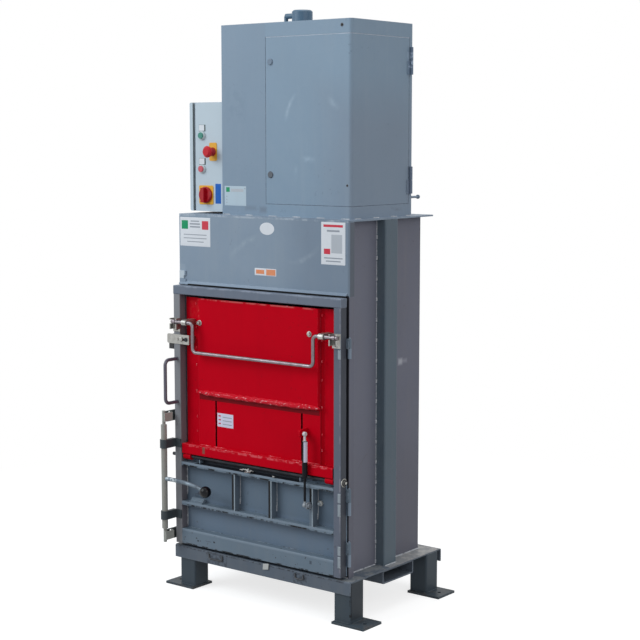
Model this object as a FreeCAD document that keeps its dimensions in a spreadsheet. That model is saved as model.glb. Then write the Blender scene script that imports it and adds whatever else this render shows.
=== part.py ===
import FreeCAD, Part
import math
import os
import re
import Sketcher

# Mill-size recycling baler. X runs to the right, Y to the rear, Z up, in millimetres.
# Places are written from the body: X from its left side, Y from its front, Z from the floor.
# The part's own origin lies on the floor, midway between the four anchor holes.

SIZES = [
    ("body_w", 740), ("body_d", 446), ("body_top", 1305), ("plate", 5),
    ("wall_in", 30), ("wall_return", 30), ("upright_w", 35), ("upright_d", 27), ("tube_wall", 3),
    ("stiff_y", 190), ("stiff_w", 70), ("stiff_out", 36), ("stiff_wall", 4),
    ("bed_w", 771), ("bed_over", 81), ("bed_out", 33), ("bed_top", 148), ("bed_lip", 45),
    ("channel_y", 154), ("channel_w", 177), ("channel_low", 97), ("fold", 6),
    ("leg", 70), ("leg_inset", 19), ("leg_wall", 4),
    ("foot_t", 8), ("foot_out", 59), ("foot_front", 13), ("foot_rear", 17),
    ("anchor_d", 14), ("anchor_out", 30),
    ("head_low", 1067), ("head_bend", 8), ("lip_out", 9), ("lug_w", 27), ("lug_h", 47),
    ("top_over", 32),
    ("cab_x", 152), ("cab_w", 556), ("cab_y", 52), ("cab_d", 344), ("cab_top", 1945),
    ("thin", 3), ("cab_bend", 12), ("cab_door_x", 352), ("cab_door_low", 1350),
    ("cab_door_h", 549), ("cab_door_rear", 372), ("door_gap", 2), ("door_return", 14),
    ("cab_pin_out", 6), ("cab_knuckle_r", 5.5), ("cab_hinge_z", 1778),
    ("cab_hinge_low", 1384), ("cab_hinge_h", 90), ("cab_lock_in", 19), ("cab_lock_z", 1818),
    ("cab_lock_low", 1448), ("cab_lock_r", 11), ("cab_tongue", 34),
    ("cyl_x", 374), ("cyl_y", 220), ("cyl_r", 35), ("cyl_wall", 5), ("cyl_over", 50), ("cyl_cap", 12),
    ("port_drop", 17), ("elbow_gap", 1),
    ("gland_h", 28), ("rod_r", 20), ("piston_h", 30), ("piston_room", 28), ("flange_w", 130),
    ("flange_in", 8), ("flange_t", 20), ("bolt_r", 7), ("fit", 0.05), ("port_r", 9), ("port_out", 40),
    ("platen_low", 1090), ("platen_t", 12), ("platen_gap", 4), ("platen_rib", 70),
    ("rib_wall", 8), ("platen_boss_r", 45),
    ("box_w", 123), ("box_y", 60), ("box_d", 285), ("box_low", 1318), ("box_h", 372),
    ("box_neck", 12), ("neck_in", 5), ("lid_t", 14), ("lid_gap", 0.5), ("lid_pin", 4),
    ("lid_pin_z", 30), ("lid_leaf", 10), ("lid_barrel", 40),
    ("button_x", 60), ("start_z", 1577), ("stop_z", 1463), ("button_r", 11), ("bezel_r", 15),
    ("bezel_t", 7), ("button_out", 4),
    ("estop_x", 111), ("estop_z", 1522), ("estop_r", 20), ("estop_plate", 62), ("estop_out", 40),
    ("isolator_x", 78), ("isolator_z", 1374), ("isolator_r", 28), ("isolator_plate", 65),
    ("isolator_out", 22), ("face_t", 2), ("estop_side", 17), ("estop_neck", 16), ("estop_neck_r", 15),
    ("estop_bore", 7), ("press_room", 6), ("grip_w", 14), ("grip_out", 12),
    ("post", 30), ("post_in", 10), ("door_front", 40), ("door_low", 158), ("door_top", 1065),
    ("door_back", 6), ("skin", 4), ("skin_over", 32), ("sill_z", 437), ("mid_z", 297), ("rail_t", 13),
    ("bottom_h", 54), ("rib_t", 13), ("rib_pitch", 162), ("rib_x", 273), ("tab_h", 13), ("tab_d", 20),
    ("tab_in", 10), ("tab_x", 114), ("tab_far", 178),
    ("hinge_out", 6), ("hinge_y", 5), ("hinge_gap", 2), ("hinge_leaf", 7), ("pin_over", 4),
    ("hinge_low_z", 190), ("hinge_low_h", 40),
    ("hinge_mid_z", 360), ("hinge_mid_h", 43), ("hinge_top_z", 871), ("hinge_top_h", 32),
    ("knuckle_r", 6), ("pin_r", 3),
    ("gate_gap", 4), ("strip_back", 7), ("flange_back", 10), ("ridge", 6), ("pivot_head", 9),
    ("gate_low", 480), ("gate_flange_h", 35), ("gate_top", 1025),
    ("gate_edge", 64), ("gate_slope", 10), ("gate_front", 20), ("plate_front", 28),
    ("gate_plate_low", 706), ("slot_x", 138), ("slot_w", 8), ("slot_low", 518), ("slot_h", 180),
    ("pivot_y", 25), ("pivot_z", 470), ("pivot_r", 6), ("pivot_out", 21), ("pivot_lug_r", 14),
    ("pivot_lug_d", 16), ("pivot_lug_w", 33),
    ("bar_y", 54), ("bar_z", 941), ("bar_r", 6), ("bar_drop", 100), ("bar_x", 102), ("bar_bend", 15),
    ("bearing_x", 22), ("bearing_w", 20), ("bearing_r", 10),
    ("catch_w", 32), ("catch_wall", 4), ("catch_low", 26), ("catch_up", 12), ("catch_out", 22),
    ("nose_r", 8), ("nose_w", 10), ("nose_reach", 28), ("nose_t", 4), ("barb", 4), ("barb_t", 8),
    ("slot_under", 31), ("slot_over", 4.8),
    ("grab_low", 660), ("grab_h", 151), ("grab_out", 60), ("grab_r", 6), ("grab_bend", 18),
    ("lock_y", 84), ("lock_r", 10.5), ("lock_axle_r", 6), ("lock_low", 215), ("lock_h", 367),
    ("arm_t", 8), ("arm_out", 74), ("arm_h", 37), ("arm_top_z", 590), ("arm_low_z", 170),
    ("axle_over", 4), ("hook_h", 29), ("hook_t", 4), ("hook_gap", 1), ("hook_reach", 34),
    ("window_h", 33), ("window_gap", 2), ("hook_bite", 8),
    ("bracket_z", 500), ("bracket_low", 247), ("bracket_h", 30), ("bracket_wall", 4),
    ("lever_z", 384), ("lever_l", 192), ("lever_r", 5), ("lever_tilt", 4), ("knob_r", 20),
    ("rest_x", 77), ("rest_w", 56), ("rest_h", 16), ("rest_d", 20),
    ("rest_lip", 6),
    ("strut_x", 600), ("strut_y", 52), ("strut_top", 617), ("strut_low", 381), ("strut_r", 9),
    ("strut_rod_r", 4), ("strut_neck", 22), ("strut_tube_h", 122), ("strut_in", 30),
    ("strut_end", 8), ("strut_eye_r", 7),
    ("strut_eye_t", 9), ("stud_r", 4), ("stud_gap", 0.3), ("strut_lug_t", 6), ("strut_lug_r", 11),
    ("strut_lug_out", 9), ("stud_l", 8),
    ("tag_low", 863), ("tag_h", 33), ("tag_x", -18), ("tag_w", 102), ("switch_w", 21),
    ("switch_low", 843), ("switch_h", 50), ("switch_gap", 2),
    ("tag_slot_x", 50), ("tag_slot_w", 42), ("tag_slot_z", 12), ("tag_slot_h", 8),
    ("tag_foot", 18), ("tag_in", 4),
    ("clip_wire", 2.5), ("clip_left", 162), ("clip_w", 60), ("clip_small_w", 34), ("clip_right", 545),
    ("clip_h", 17),
    ("clip_z", 123), ("tank_share", 0.362), ("tank_w", 230), ("tank_d", 240),
    ("cap_r", 20), ("cap_h", 30), ("motor_r", 62), ("motor_l", 190), ("motor_flange", 10), ("fin_pitch", 32),
    ("fin_t", 12), ("fin_deep", 8), ("pack_gap", 20), ("valve_w", 60), ("valve_d", 70), ("valve_h", 55),
    ("valve_port", 30), ("valve_side", 20), ("spool_l", 34), ("spool_r", 15), ("valve_boss", 12),
    ("hose_r", 7), ("hose_bend", 40), ("hose_drop", 70),
]

doc = FreeCAD.newDocument("baler")
sheet = doc.addObject("Spreadsheet::Sheet", "sizes")
for row, (alias, value) in enumerate(SIZES, 1):
    sheet.set(f"A{row}", alias)
    sheet.set(f"B{row}", str(value))
    sheet.setAlias(f"B{row}", alias)
doc.recompute()
ALIASES = {alias for alias, value in SIZES}
BED_D = "(body_d + bed_over)"
ORIGIN = ("(leg_inset + bed_w) / 2", f"({BED_D} - leg_inset + plate) / 2 - bed_out", "0")
AXIS_TURNS = {
    "X": FreeCAD.Rotation(FreeCAD.Vector(0, 1, 0), 90),
    "Y": FreeCAD.Rotation(FreeCAD.Vector(1, 0, 0), -90),
    "Z": FreeCAD.Rotation(),
}
nodes = []


def bound(text):
    """Write a size rule with every alias read from the sheet."""
    return re.sub(r"\b[a-z_]\w*(?!\w*\()", lambda word: "sizes." + word.group(), str(text))


def number(text):
    """Work a size rule out to a plain number."""
    return float(sheet.evalExpression(bound(text)))


def bind(item, sizes):
    """Bind properties of an object to size rules."""
    for name, text in sizes.items():
        item.setExpression(name, bound(text))


def put(item, x, y, z, turn=FreeCAD.Rotation()):
    """Stand an object at a place given from the body's corner, turned as asked."""
    item.Placement = FreeCAD.Placement(FreeCAD.Vector(), turn)
    for letter, place, origin in zip("xyz", (x, y, z), ORIGIN):
        item.setExpression(f"Placement.Base.{letter}", bound(f"({place}) - ({origin})"))


def node(label, *items):
    """Keep one object, or several welded or alike, as a named sub-part."""
    if len(items) == 1:
        item = items[0]
    else:
        item = doc.addObject("Part::MultiFuse", label)
        item.Shapes = list(items)
    for other in doc.getObjectsByLabel(label):
        other.Label = label + "_core"
    item.Label = label
    nodes.append(item)
    return item


def block(x, y, z, length, width, height):
    """A plain rectangular solid with its near lower left corner at x, y, z."""
    item = doc.addObject("Part::Box", "block")
    bind(item, {"Length": length, "Width": width, "Height": height})
    put(item, x, y, z)
    return item


def rod(axis, x, y, z, radius, length):
    """A round bar that starts at x, y, z and runs along an axis."""
    item = doc.addObject("Part::Cylinder", "rod")
    bind(item, {"Radius": radius, "Height": length})
    put(item, x, y, z, AXIS_TURNS[axis])
    return item


def ball(x, y, z, radius):
    """A sphere about x, y, z."""
    item = doc.addObject("Part::Sphere", "ball")
    bind(item, {"Radius": radius})
    put(item, x, y, z)
    return item


def less(base, *tools):
    """Take tools away from a base solid."""
    tool = tools[0]
    if len(tools) > 1:
        tool = doc.addObject("Part::MultiFuse", "cutters")
        tool.Shapes = list(tools)
    item = doc.addObject("Part::Cut", "cut")
    item.Base = base
    item.Tool = tool
    return item


def body_at(name, plane, start):
    """A body whose sketch plane stands at start along the plane's normal."""
    item = doc.addObject("PartDesign::Body", name)
    place = {"YZ": (start, "0", "0"), "XZ": ("0", start, "0"), "XY": ("0", "0", start)}[plane]
    put(item, *place)
    return item


def sketch_on(body, name, plane):
    """An empty sketch on one of a body's own origin planes."""
    sketch = body.newObject("Sketcher::SketchObject", name)
    role = plane + "_Plane"
    origin_plane = next(item for item in body.Origin.OriginFeatures if item.Role == role)
    sketch.AttachmentSupport = [(origin_plane, "")]
    sketch.MapMode = "FlatFace"
    return sketch


def pin_point(sketch, edge, end, u, v):
    """Fix one end of an edge at a place given by two size rules."""
    for kind, text in (("DistanceX", u), ("DistanceY", v)):
        index = sketch.addConstraint(Sketcher.Constraint(kind, -1, 1, edge, end, number(text)))
        sketch.setExpression(f"Constraints[{index}]", bound(text))


def add_outline(sketch, points):
    """Draw a closed outline through points, each fixed by its size rules."""
    first = sketch.GeometryCount
    spots = [FreeCAD.Vector(number(u), number(v), 0) for u, v in points]
    for here, there in zip(spots, spots[1:] + spots[:1]):
        sketch.addGeometry(Part.LineSegment(here, there))
    last = len(points) - 1
    for step, (u, v) in enumerate(points):
        following = first + (step + 1 if step < last else 0)
        sketch.addConstraint(Sketcher.Constraint("Coincident", first + step, 2, following, 1))
        pin_point(sketch, first + step, 1, u, v)


def add_circle(sketch, u, v, radius):
    """Draw a circle whose centre and radius follow size rules."""
    centre = FreeCAD.Vector(number(u), number(v), 0)
    edge = sketch.addGeometry(Part.Circle(centre, FreeCAD.Vector(0, 0, 1), number(radius)))
    pin_point(sketch, edge, 3, u, v)
    index = sketch.addConstraint(Sketcher.Constraint("Radius", edge, number(radius)))
    sketch.setExpression(f"Constraints[{index}]", bound(radius))


def profile(name, plane, start, length, points, rounds=(), inner=(), holes=()):
    """Pad an outline drawn in XY, XZ or YZ from start along the third axis.

    rounds lists (point numbers, radius) for corners that are bent or turned,
    inner lists closed inner outlines, and holes lists (u, v, radius)."""
    body = body_at(name, plane, start)
    sketch = sketch_on(body, name + "_outline", plane)
    add_outline(sketch, points)
    for loop in inner:
        add_outline(sketch, loop)
    for u, v, radius in holes:
        add_circle(sketch, u, v, radius)
    pad = body.newObject("PartDesign::Pad", name + "_pad")
    pad.Profile = sketch
    pad.Reversed = plane == "XZ"
    bind(pad, {"Length": length})
    doc.recompute()
    for order, (corners, radius) in enumerate(rounds, 1):
        base = body.Tip
        bend = body.newObject("PartDesign::Fillet", f"{name}_bend{order}")
        bend.Base = (base, corner_edges(base.Shape, plane, [points[corner] for corner in corners]))
        bind(bend, {"Radius": radius})
        doc.recompute()
    return body


def corner_edges(shape, plane, corners):
    """Name the edges that run along the pad at the given corners of its outline."""
    first, second = {"XY": (0, 1), "XZ": (0, 2), "YZ": (1, 2)}[plane]
    spots = [(number(u), number(v)) for u, v in corners]
    found = []
    for order, edge in enumerate(shape.Edges, 1):
        ends = [(vertex.Point[first], vertex.Point[second]) for vertex in edge.Vertexes]
        for u, v in spots:
            if len(ends) == 2 and all(abs(a - u) + abs(b - v) < 0.001 for a, b in ends):
                found.append(f"Edge{order}")
    return found


def turned(name, axis, x, y, z, points):
    """Turn a half outline of (radius, height) points about an axis through x, y, z."""
    body = doc.addObject("PartDesign::Body", name)
    put(body, x, y, z, AXIS_TURNS[axis])
    sketch = sketch_on(body, name + "_outline", "XZ")
    add_outline(sketch, points)
    spin = body.newObject("PartDesign::Revolution", name + "_turn")
    spin.Profile = sketch
    spin.ReferenceAxis = (sketch, ["V_Axis"])
    spin.Angle = 360
    doc.recompute()
    return body


def bent_rod(name, plane, start, points, bend, radius):
    """Sweep a round section along straight runs joined by quarter bends.

    The path lies in YZ or XZ at start along the normal, its runs follow the axes,
    and its first run leaves the point in the direction of the second point."""
    body = body_at(name, plane, start)
    path = sketch_on(body, name + "_path", plane)
    runs = []
    for step, (here, there) in enumerate(zip(points, points[1:])):
        level = here[1] == there[1]
        along = 0 if level else 1
        sign = 1 if number(there[along]) > number(here[along]) else -1
        ends = [list(here), list(there)]
        if step > 0:
            ends[0][along] = f"({here[along]}) + {sign} * ({bend})"
        if step < len(points) - 2:
            ends[1][along] = f"({there[along]}) - {sign} * ({bend})"
        runs.append(ends)
    for (u0, v0), (u1, v1) in runs:
        near = FreeCAD.Vector(number(u0), number(v0), 0)
        far = FreeCAD.Vector(number(u1), number(v1), 0)
        edge = path.addGeometry(Part.LineSegment(near, far))
        pin_point(path, edge, 1, u0, v0)
        pin_point(path, edge, 2, u1, v1)
    for step in range(len(runs) - 1):
        corner = FreeCAD.Vector(number(points[step + 1][0]), number(points[step + 1][1]), 0)
        near = FreeCAD.Vector(number(runs[step][1][0]), number(runs[step][1][1]), 0)
        far = FreeCAD.Vector(number(runs[step + 1][0][0]), number(runs[step + 1][0][1]), 0)
        centre = near + far - corner
        leftward = (corner - near).cross(far - corner).z > 0
        first, near_end, far_end = (near, 1, 2) if leftward else (far, 2, 1)
        begin = math.atan2(first.y - centre.y, first.x - centre.x)
        ring = Part.Circle(centre, FreeCAD.Vector(0, 0, 1), number(bend))
        edge = path.addGeometry(Part.ArcOfCircle(ring, begin, begin + math.pi / 2))
        path.addConstraint(Sketcher.Constraint("Coincident", edge, near_end, step, 2))
        path.addConstraint(Sketcher.Constraint("Coincident", edge, far_end, step + 1, 1))
        index = path.addConstraint(Sketcher.Constraint("Radius", edge, number(bend)))
        path.setExpression(f"Constraints[{index}]", bound(bend))
    level = points[0][1] == points[1][1]
    across = {("YZ", True): "XZ", ("YZ", False): "XY", ("XZ", True): "YZ", ("XZ", False): "XY"}[plane, level]
    ring = sketch_on(body, name + "_ring", across)
    flip = -1 if across == "XZ" else 1
    ring.setExpression("AttachmentOffset.Base.z", bound(f"{flip} * ({points[0][0 if level else 1]})"))
    centre = {"YZ": ("0", points[0][1]) if level else ("0", points[0][0]),
              "XZ": ("0", points[0][1]) if level else (points[0][0], "0")}[plane]
    add_circle(ring, *centre, radius)
    pipe = body.newObject("PartDesign::AdditivePipe", name + "_pipe")
    pipe.Profile = ring
    pipe.Spine = (path, [f"Edge{order}" for order in range(1, path.GeometryCount + 1)])
    doc.recompute()
    return body


# Bed: a folded tray with front and rear flanges on four legs, stiffened by a channel below.
bed_floor = "bed_top - plate"
bed_front = "-bed_out"
bed_rear = f"{BED_D} - bed_out"
tray = profile("tray", "YZ", "0", "bed_w", [
    (bed_front, "bed_top"), (bed_rear, "bed_top"), (bed_rear, "bed_top - bed_lip"),
    (f"{bed_rear} - plate", "bed_top - bed_lip"), (f"{bed_rear} - plate", bed_floor),
    (f"{bed_front} + plate", bed_floor), (f"{bed_front} + plate", "bed_top - bed_lip"),
    (bed_front, "bed_top - bed_lip")], [((0, 1), "fold")])
channel = profile("channel", "YZ", "plate", "bed_w - 2 * plate", [
    ("channel_y", bed_floor), ("channel_y + channel_w", bed_floor),
    ("channel_y + channel_w", "channel_low"), ("channel_y", "channel_low")],
    [((2, 3), "fold")], inner=[[
        ("channel_y + plate", "bed_top - 2 * plate"),
        ("channel_y + channel_w - plate", "bed_top - 2 * plate"),
        ("channel_y + channel_w - plate", "channel_low + plate"),
        ("channel_y + plate", "channel_low + plate")]])
node("bed_tray", tray, channel)

LEG_X = {"left": "leg_inset", "right": "bed_w - leg"}
LEG_Y = {"front": "plate - bed_out", "rear": f"{BED_D} - bed_out - leg_inset - leg"}
FOOT_X = {"left": ("leg_inset - foot_out", "leg_inset - anchor_out"),
          "right": ("bed_w - leg", "bed_w + anchor_out")}
for end, leg_y in LEG_Y.items():
    for side, leg_x in LEG_X.items():
        leg_far_x, leg_far_y = f"{leg_x} + leg", f"{leg_y} + leg"
        tube = profile(f"leg_{end}_{side}", "XY", "foot_t", "bed_top - plate - foot_t", [
            (leg_x, leg_y), (leg_far_x, leg_y), (leg_far_x, leg_far_y), (leg_x, leg_far_y)],
            [((0, 1, 2, 3), "fold")], inner=[[
                (f"{leg_x} + leg_wall", f"{leg_y} + leg_wall"),
                (f"{leg_far_x} - leg_wall", f"{leg_y} + leg_wall"),
                (f"{leg_far_x} - leg_wall", f"{leg_far_y} - leg_wall"),
                (f"{leg_x} + leg_wall", f"{leg_far_y} - leg_wall")]])
        foot_x, anchor_x = FOOT_X[side]
        near_y, far_y = f"{leg_y} - foot_front", f"{leg_far_y} + foot_rear"
        foot = profile(f"foot_{end}_{side}", "XY", "0", "foot_t", [
            (foot_x, near_y), (f"{foot_x} + leg + foot_out", near_y),
            (f"{foot_x} + leg + foot_out", far_y), (foot_x, far_y)],
            holes=[(anchor_x, f"{leg_y} + leg / 2", "anchor_d / 2")])
        node(f"leg_{end}_{side}", tube, foot)

# Press body: two box uprights, folded side walls, a back wall and outer stiffener channels.
for side, near_x in (("left", "0"), ("right", "body_w - upright_w")):
    far_x = f"{near_x} + upright_w"
    node(f"upright_{side}", profile(f"upright_{side}", "XY", "bed_top", "head_low - bed_top", [
        (near_x, "0"), (far_x, "0"), (far_x, "upright_d"), (near_x, "upright_d")],
        [((0, 1), "tube_wall")], inner=[[
            (f"{near_x} + tube_wall", "tube_wall"), (f"{far_x} - tube_wall", "tube_wall"),
            (f"{far_x} - tube_wall", "upright_d - tube_wall"),
            (f"{near_x} + tube_wall", "upright_d - tube_wall")]]))

stiffeners = []
for side, outer, sign in (("left", "wall_in", 1), ("right", "body_w - wall_in", -1)):
    inner_face = f"{outer} + {sign} * plate"
    back_edge = f"{outer} + {sign} * wall_return"
    node(f"side_wall_{side}", profile(f"side_wall_{side}", "XY", "bed_top", "body_top - bed_top", [
        (outer, "upright_d"), (inner_face, "upright_d"), (inner_face, "body_d - plate"),
        (back_edge, "body_d - plate"), (back_edge, "body_d"), (outer, "body_d")],
        [((5,), "head_bend"), ((2,), "tube_wall")]))
    proud = f"{outer} - {sign} * stiff_out"
    proud_in = f"{proud} + {sign} * stiff_wall"
    stiffeners.append(profile(f"stiffener_{side}", "XY", "bed_top", "body_top - bed_top", [
        (outer, "stiff_y"), (proud, "stiff_y"), (proud, "stiff_y + stiff_w"),
        (outer, "stiff_y + stiff_w"), (outer, "stiff_y + stiff_w - stiff_wall"),
        (proud_in, "stiff_y + stiff_w - stiff_wall"), (proud_in, "stiff_y + stiff_wall"),
        (outer, "stiff_y + stiff_wall")], [((1, 2), "fold")]))
node("side_stiffeners", *stiffeners)
node("back_wall", block("wall_in + plate + tube_wall", "body_d - 2 * plate", "bed_top",
                        "body_w - 2 * wall_in - 2 * plate - 2 * tube_wall", "plate", "body_top - bed_top"))

# Head panel: a folded pan across the front with a flared lower lip and a notched lug.
pan = profile("pan", "XY", "head_low", "body_top - head_low", [
    ("0", "0"), ("body_w", "0"), ("body_w", "upright_d"), ("body_w - wall_in", "upright_d"),
    ("body_w - wall_in", "upright_d - plate"), ("body_w - plate", "upright_d - plate"),
    ("body_w - plate", "plate"), ("plate", "plate"), ("plate", "upright_d - plate"),
    ("wall_in", "upright_d - plate"), ("wall_in", "upright_d"), ("0", "upright_d")],
    [((0, 1), "head_bend"), ((6, 7), "tube_wall")])
lip = profile("lip", "YZ", "head_bend", "body_w - 2 * head_bend", [
    ("0", "head_low"), ("0", "head_low + 12"), ("-lip_out", "head_low + 3"), ("-lip_out", "head_low")])
lug = profile("lug", "XZ", "-plate", "plate", [
    ("head_bend", "head_low + plate"), ("head_bend + lug_w", "head_low + plate"),
    ("head_bend + lug_w", "head_low + lug_h * 0.4"), ("head_bend + lug_w * 0.7", "head_low + lug_h * 0.4"),
    ("head_bend + lug_w * 0.7", "head_low + lug_h * 0.65"), ("head_bend + lug_w", "head_low + lug_h * 0.65"),
    ("head_bend + lug_w", "head_low + lug_h"), ("head_bend", "head_low + lug_h")])
node("head_panel", pan, lip, lug)

node("top_plate", profile("top_plate", "XY", "body_top", "plate", [
    ("0", "0"), ("body_w", "0"), ("body_w", "body_d + top_over"), ("0", "body_d + top_over")],
    [((0, 1, 2, 3), "head_bend")], holes=[("cyl_x", "cyl_y", "rod_r + plate")]))

# Cabinet: a folded hood over the power pack, with one door that wraps round its right corner.
cab_floor = "body_top + plate"
cab_far_x = "cab_x + cab_w"
cab_far_y = "cab_y + cab_d"


def shell_outline(inset):
    """The hood's plan, drawn in by an inset."""
    low_x, far_x = f"cab_x + {inset}", f"{cab_far_x} - {inset}"
    low_y, far_y = f"cab_y + {inset}", f"{cab_far_y} - {inset}"
    return [(low_x, low_y), (far_x, low_y), (far_x, far_y), (low_x, far_y)]


hood_h = f"cab_top - ({cab_floor})"
hood_out = profile("hood_outside", "XY", cab_floor, hood_h, shell_outline("0"),
                   [((0, 1, 2, 3), "cab_bend")])
hood_in = profile("hood_inside", "XY", f"{cab_floor} - thin", hood_h, shell_outline("thin"),
                  [((0, 1, 2, 3), "cab_bend - thin")])
doorway = block("cab_door_x", "cab_y - thin", "cab_door_low", f"{cab_far_x} - cab_door_x + thin",
                "cab_door_rear - cab_y + thin", "cab_door_h")
chimney = rod("Z", "cyl_x", "cyl_y", "cab_top - 2 * thin", "cyl_r + thin", "3 * thin")
door_x = "cab_door_x + door_gap"
door_y = "cab_door_rear - door_gap"
door_z = "cab_door_low + door_gap"
wrap_sheet = profile("cabinet_wrap", "XY", door_z, "cab_door_h - 2 * door_gap", [
    (door_x, "cab_y"), (cab_far_x, "cab_y"), (cab_far_x, door_y), (f"{cab_far_x} - door_return", door_y),
    (f"{cab_far_x} - door_return", f"{door_y} - thin"), (f"{cab_far_x} - thin", f"{door_y} - thin"),
    (f"{cab_far_x} - thin", "cab_y + thin"), (f"{door_x} + thin", "cab_y + thin"),
    (f"{door_x} + thin", "cab_y + door_return"), (door_x, "cab_y + door_return")],
    [((1,), "cab_bend"), ((6,), "cab_bend - thin")])
lock_x = f"{door_x} + cab_lock_in"
wrap = less(wrap_sheet, rod("Y", lock_x, "cab_y - 1", "cab_lock_z", "5", "thin + 2"),
            rod("Y", lock_x, "cab_y - 1", "cab_lock_low", "5", "thin + 2"))
cab_pin = (f"{cab_far_x} + cab_pin_out", "cab_door_rear + 4")
door_knuckles, hood_knuckles = [wrap], []
for low in ("cab_hinge_low", "cab_hinge_z"):
    half = "cab_hinge_h / 2 - stud_gap"
    for z, leaf_y, group in ((low, door_y + " - 12", door_knuckles),
                             (f"{low} + cab_hinge_h / 2 + stud_gap", "cab_door_rear", hood_knuckles)):
        group.append(rod("Z", *cab_pin, z, "cab_knuckle_r", half))
        group.append(block(cab_far_x, leaf_y, z, "thin", "14", half))
node("cabinet_door", *door_knuckles)
stub_x = f"{cab_far_x} - 8"
node("cabinet_hood", less(hood_out, hood_in, doorway, chimney), *hood_knuckles,
     rod("Y", stub_x, cab_far_y, "cab_door_low + 21", "4", "40"),
     rod("Y", stub_x, f"{cab_far_y} + 40", "cab_door_low + 21", "7", "5"))

for label, z in (("cabinet_lock_upper", "cab_lock_z"), ("cabinet_lock_lower", "cab_lock_low")):
    head = turned(label + "_head", "Y", lock_x, "cab_y - 4", z, [
        ("0", "0"), ("cab_lock_r - 2", "0"), ("cab_lock_r", "2"), ("cab_lock_r", "4"), ("0", "4")])
    shaft = rod("Y", lock_x, "cab_y", z, "5 - fit", "door_return + 2")
    tongue = block(f"({lock_x}) - 6", "cab_y + door_return + 1", z, "12", "thin", "cab_tongue")
    node(label, head, shaft, tongue)

# Hydraulic cylinder: flanged to the top plate, its rod through the plate to the platen.
cyl_floor = "body_top + plate"
cyl_top = "cab_top + cyl_over"
cyl_h = f"({cyl_top} - ({cyl_floor}))"
barrel = turned("barrel", "Z", "cyl_x", "cyl_y", cyl_floor, [
    ("rod_r + fit", "0"), ("flange_w / 2 - flange_in", "0"), ("flange_w / 2 - flange_in", "flange_t"),
    ("cyl_r", "flange_t"), ("cyl_r", f"{cyl_h} - cyl_wall"), ("cyl_r - cyl_wall", cyl_h), ("0", cyl_h),
    ("0", f"{cyl_h} - cyl_cap"), ("cyl_r - cyl_wall", f"{cyl_h} - cyl_cap"), ("cyl_r - cyl_wall", "gland_h"),
    ("rod_r + fit", "gland_h")])
port_x = "cyl_x - cyl_r - port_out + cyl_wall"
port_z = f"({cyl_top} - port_drop)"
port = rod("X", port_x, "cyl_y", port_z, "port_r", "port_out")
elbow = rod("Z", port_x, "cyl_y", "cab_top + elbow_gap", "hose_r", f"{port_z} - cab_top - elbow_gap")
flange_bolts = [rod("Z", f"cyl_x + {i} * flange_w * 0.36", f"cyl_y + {j} * flange_w * 0.36",
                    f"{cyl_floor} + flange_t", "bolt_r", "8")
                for i, j in ((0.95, 0.95), (-0.95, 0.95), (-0.95, -0.95), (0.95, -0.95))]
node("cylinder_barrel", barrel, port, elbow, *flange_bolts)

rod_low = "(platen_low + platen_t + platen_rib)"
rod_l = f"({cyl_top} - cyl_cap - piston_room - piston_h - {rod_low})"
node("piston_rod", turned("piston", "Z", "cyl_x", "cyl_y", rod_low, [
    ("0", "0"), ("rod_r", "0"), ("rod_r", rod_l), ("cyl_r - cyl_wall - fit", rod_l),
    ("cyl_r - cyl_wall - fit", f"{rod_l} + piston_h"), ("0", f"{rod_l} + piston_h")]))

# Platen: a thick plate under a grid of ribs, hung from the rod's end.
chamber_x = "wall_in + plate"
platen_x = f"{chamber_x} + platen_gap"
platen_w = f"body_w - 2 * ({platen_x})"
platen_y = "upright_d + platen_gap"
platen_d = "body_d - 2 * plate - upright_d - 2 * platen_gap"
rib_z = "platen_low + platen_t"
platen = [block(platen_x, platen_y, "platen_low", platen_w, platen_d, "platen_t")]
for share in (0, 0.33, 0.67, 1):
    platen.append(block(f"{platen_x} + {share} * ({platen_w} - rib_wall)", platen_y, rib_z,
                        "rib_wall", platen_d, "platen_rib - rib_wall"))
for share in (0, 0.28, 0.72, 1):
    platen.append(block(platen_x, f"{platen_y} + {share} * ({platen_d} - rib_wall)", rib_z,
                        platen_w, "rib_wall", "platen_rib - rib_wall"))
platen.append(turned("platen_boss", "Z", "cyl_x", "cyl_y", rib_z, [
    ("0", "0"), ("platen_boss_r", "0"), ("platen_boss_r", "rib_wall"), ("rod_r + rib_wall", "platen_rib"),
    ("0", "platen_rib")]))
node("platen", *platen)

# Power pack: oil tank, motor and valve block on the top plate, joined by two hoses.
tank_x = f"({cab_far_x} - thin - pack_gap - tank_w)"
tank_y = f"({cab_far_y} - thin - pack_gap - tank_d)"
tank_h = f"(tank_share * (cab_top - ({cab_floor})))"
tank = profile("tank", "XY", cab_floor, tank_h, [
    (tank_x, tank_y), (f"{tank_x} + tank_w", tank_y), (f"{tank_x} + tank_w", f"{tank_y} + tank_d"),
    (tank_x, f"{tank_y} + tank_d")], [((0, 1, 2, 3), "cab_bend")])
tank_top = f"({cab_floor} + {tank_h})"
cap = turned("tank_cap", "Z", f"{tank_x} + 2 * pack_gap", f"{tank_y} + 2 * pack_gap", tank_top, [
    ("0", "0"), ("cap_r * 0.7", "0"), ("cap_r * 0.7", "cap_h / 2"), ("cap_r", "cap_h / 2"),
    ("cap_r", "cap_h"), ("0", "cap_h")])
node("oil_tank", tank, cap)
motor_x = f"{tank_x} + tank_w - motor_r - pack_gap"
motor_y = f"{tank_y} + tank_d - motor_r - pack_gap"
motor_outline = [("0", "0"), ("motor_r + motor_flange", "0"), ("motor_r + motor_flange", "motor_flange")]
for step in range(4):
    low = f"motor_flange + {step} * fin_pitch"
    motor_outline += [("motor_r - fin_deep", low), ("motor_r - fin_deep", f"{low} + fin_pitch - fin_t"),
                      ("motor_r", f"{low} + fin_pitch - fin_t"), ("motor_r", f"{low} + fin_pitch")]
motor_outline += [("motor_r", "motor_l - fin_deep"), ("motor_r - fin_deep", "motor_l"), ("0", "motor_l")]
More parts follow.
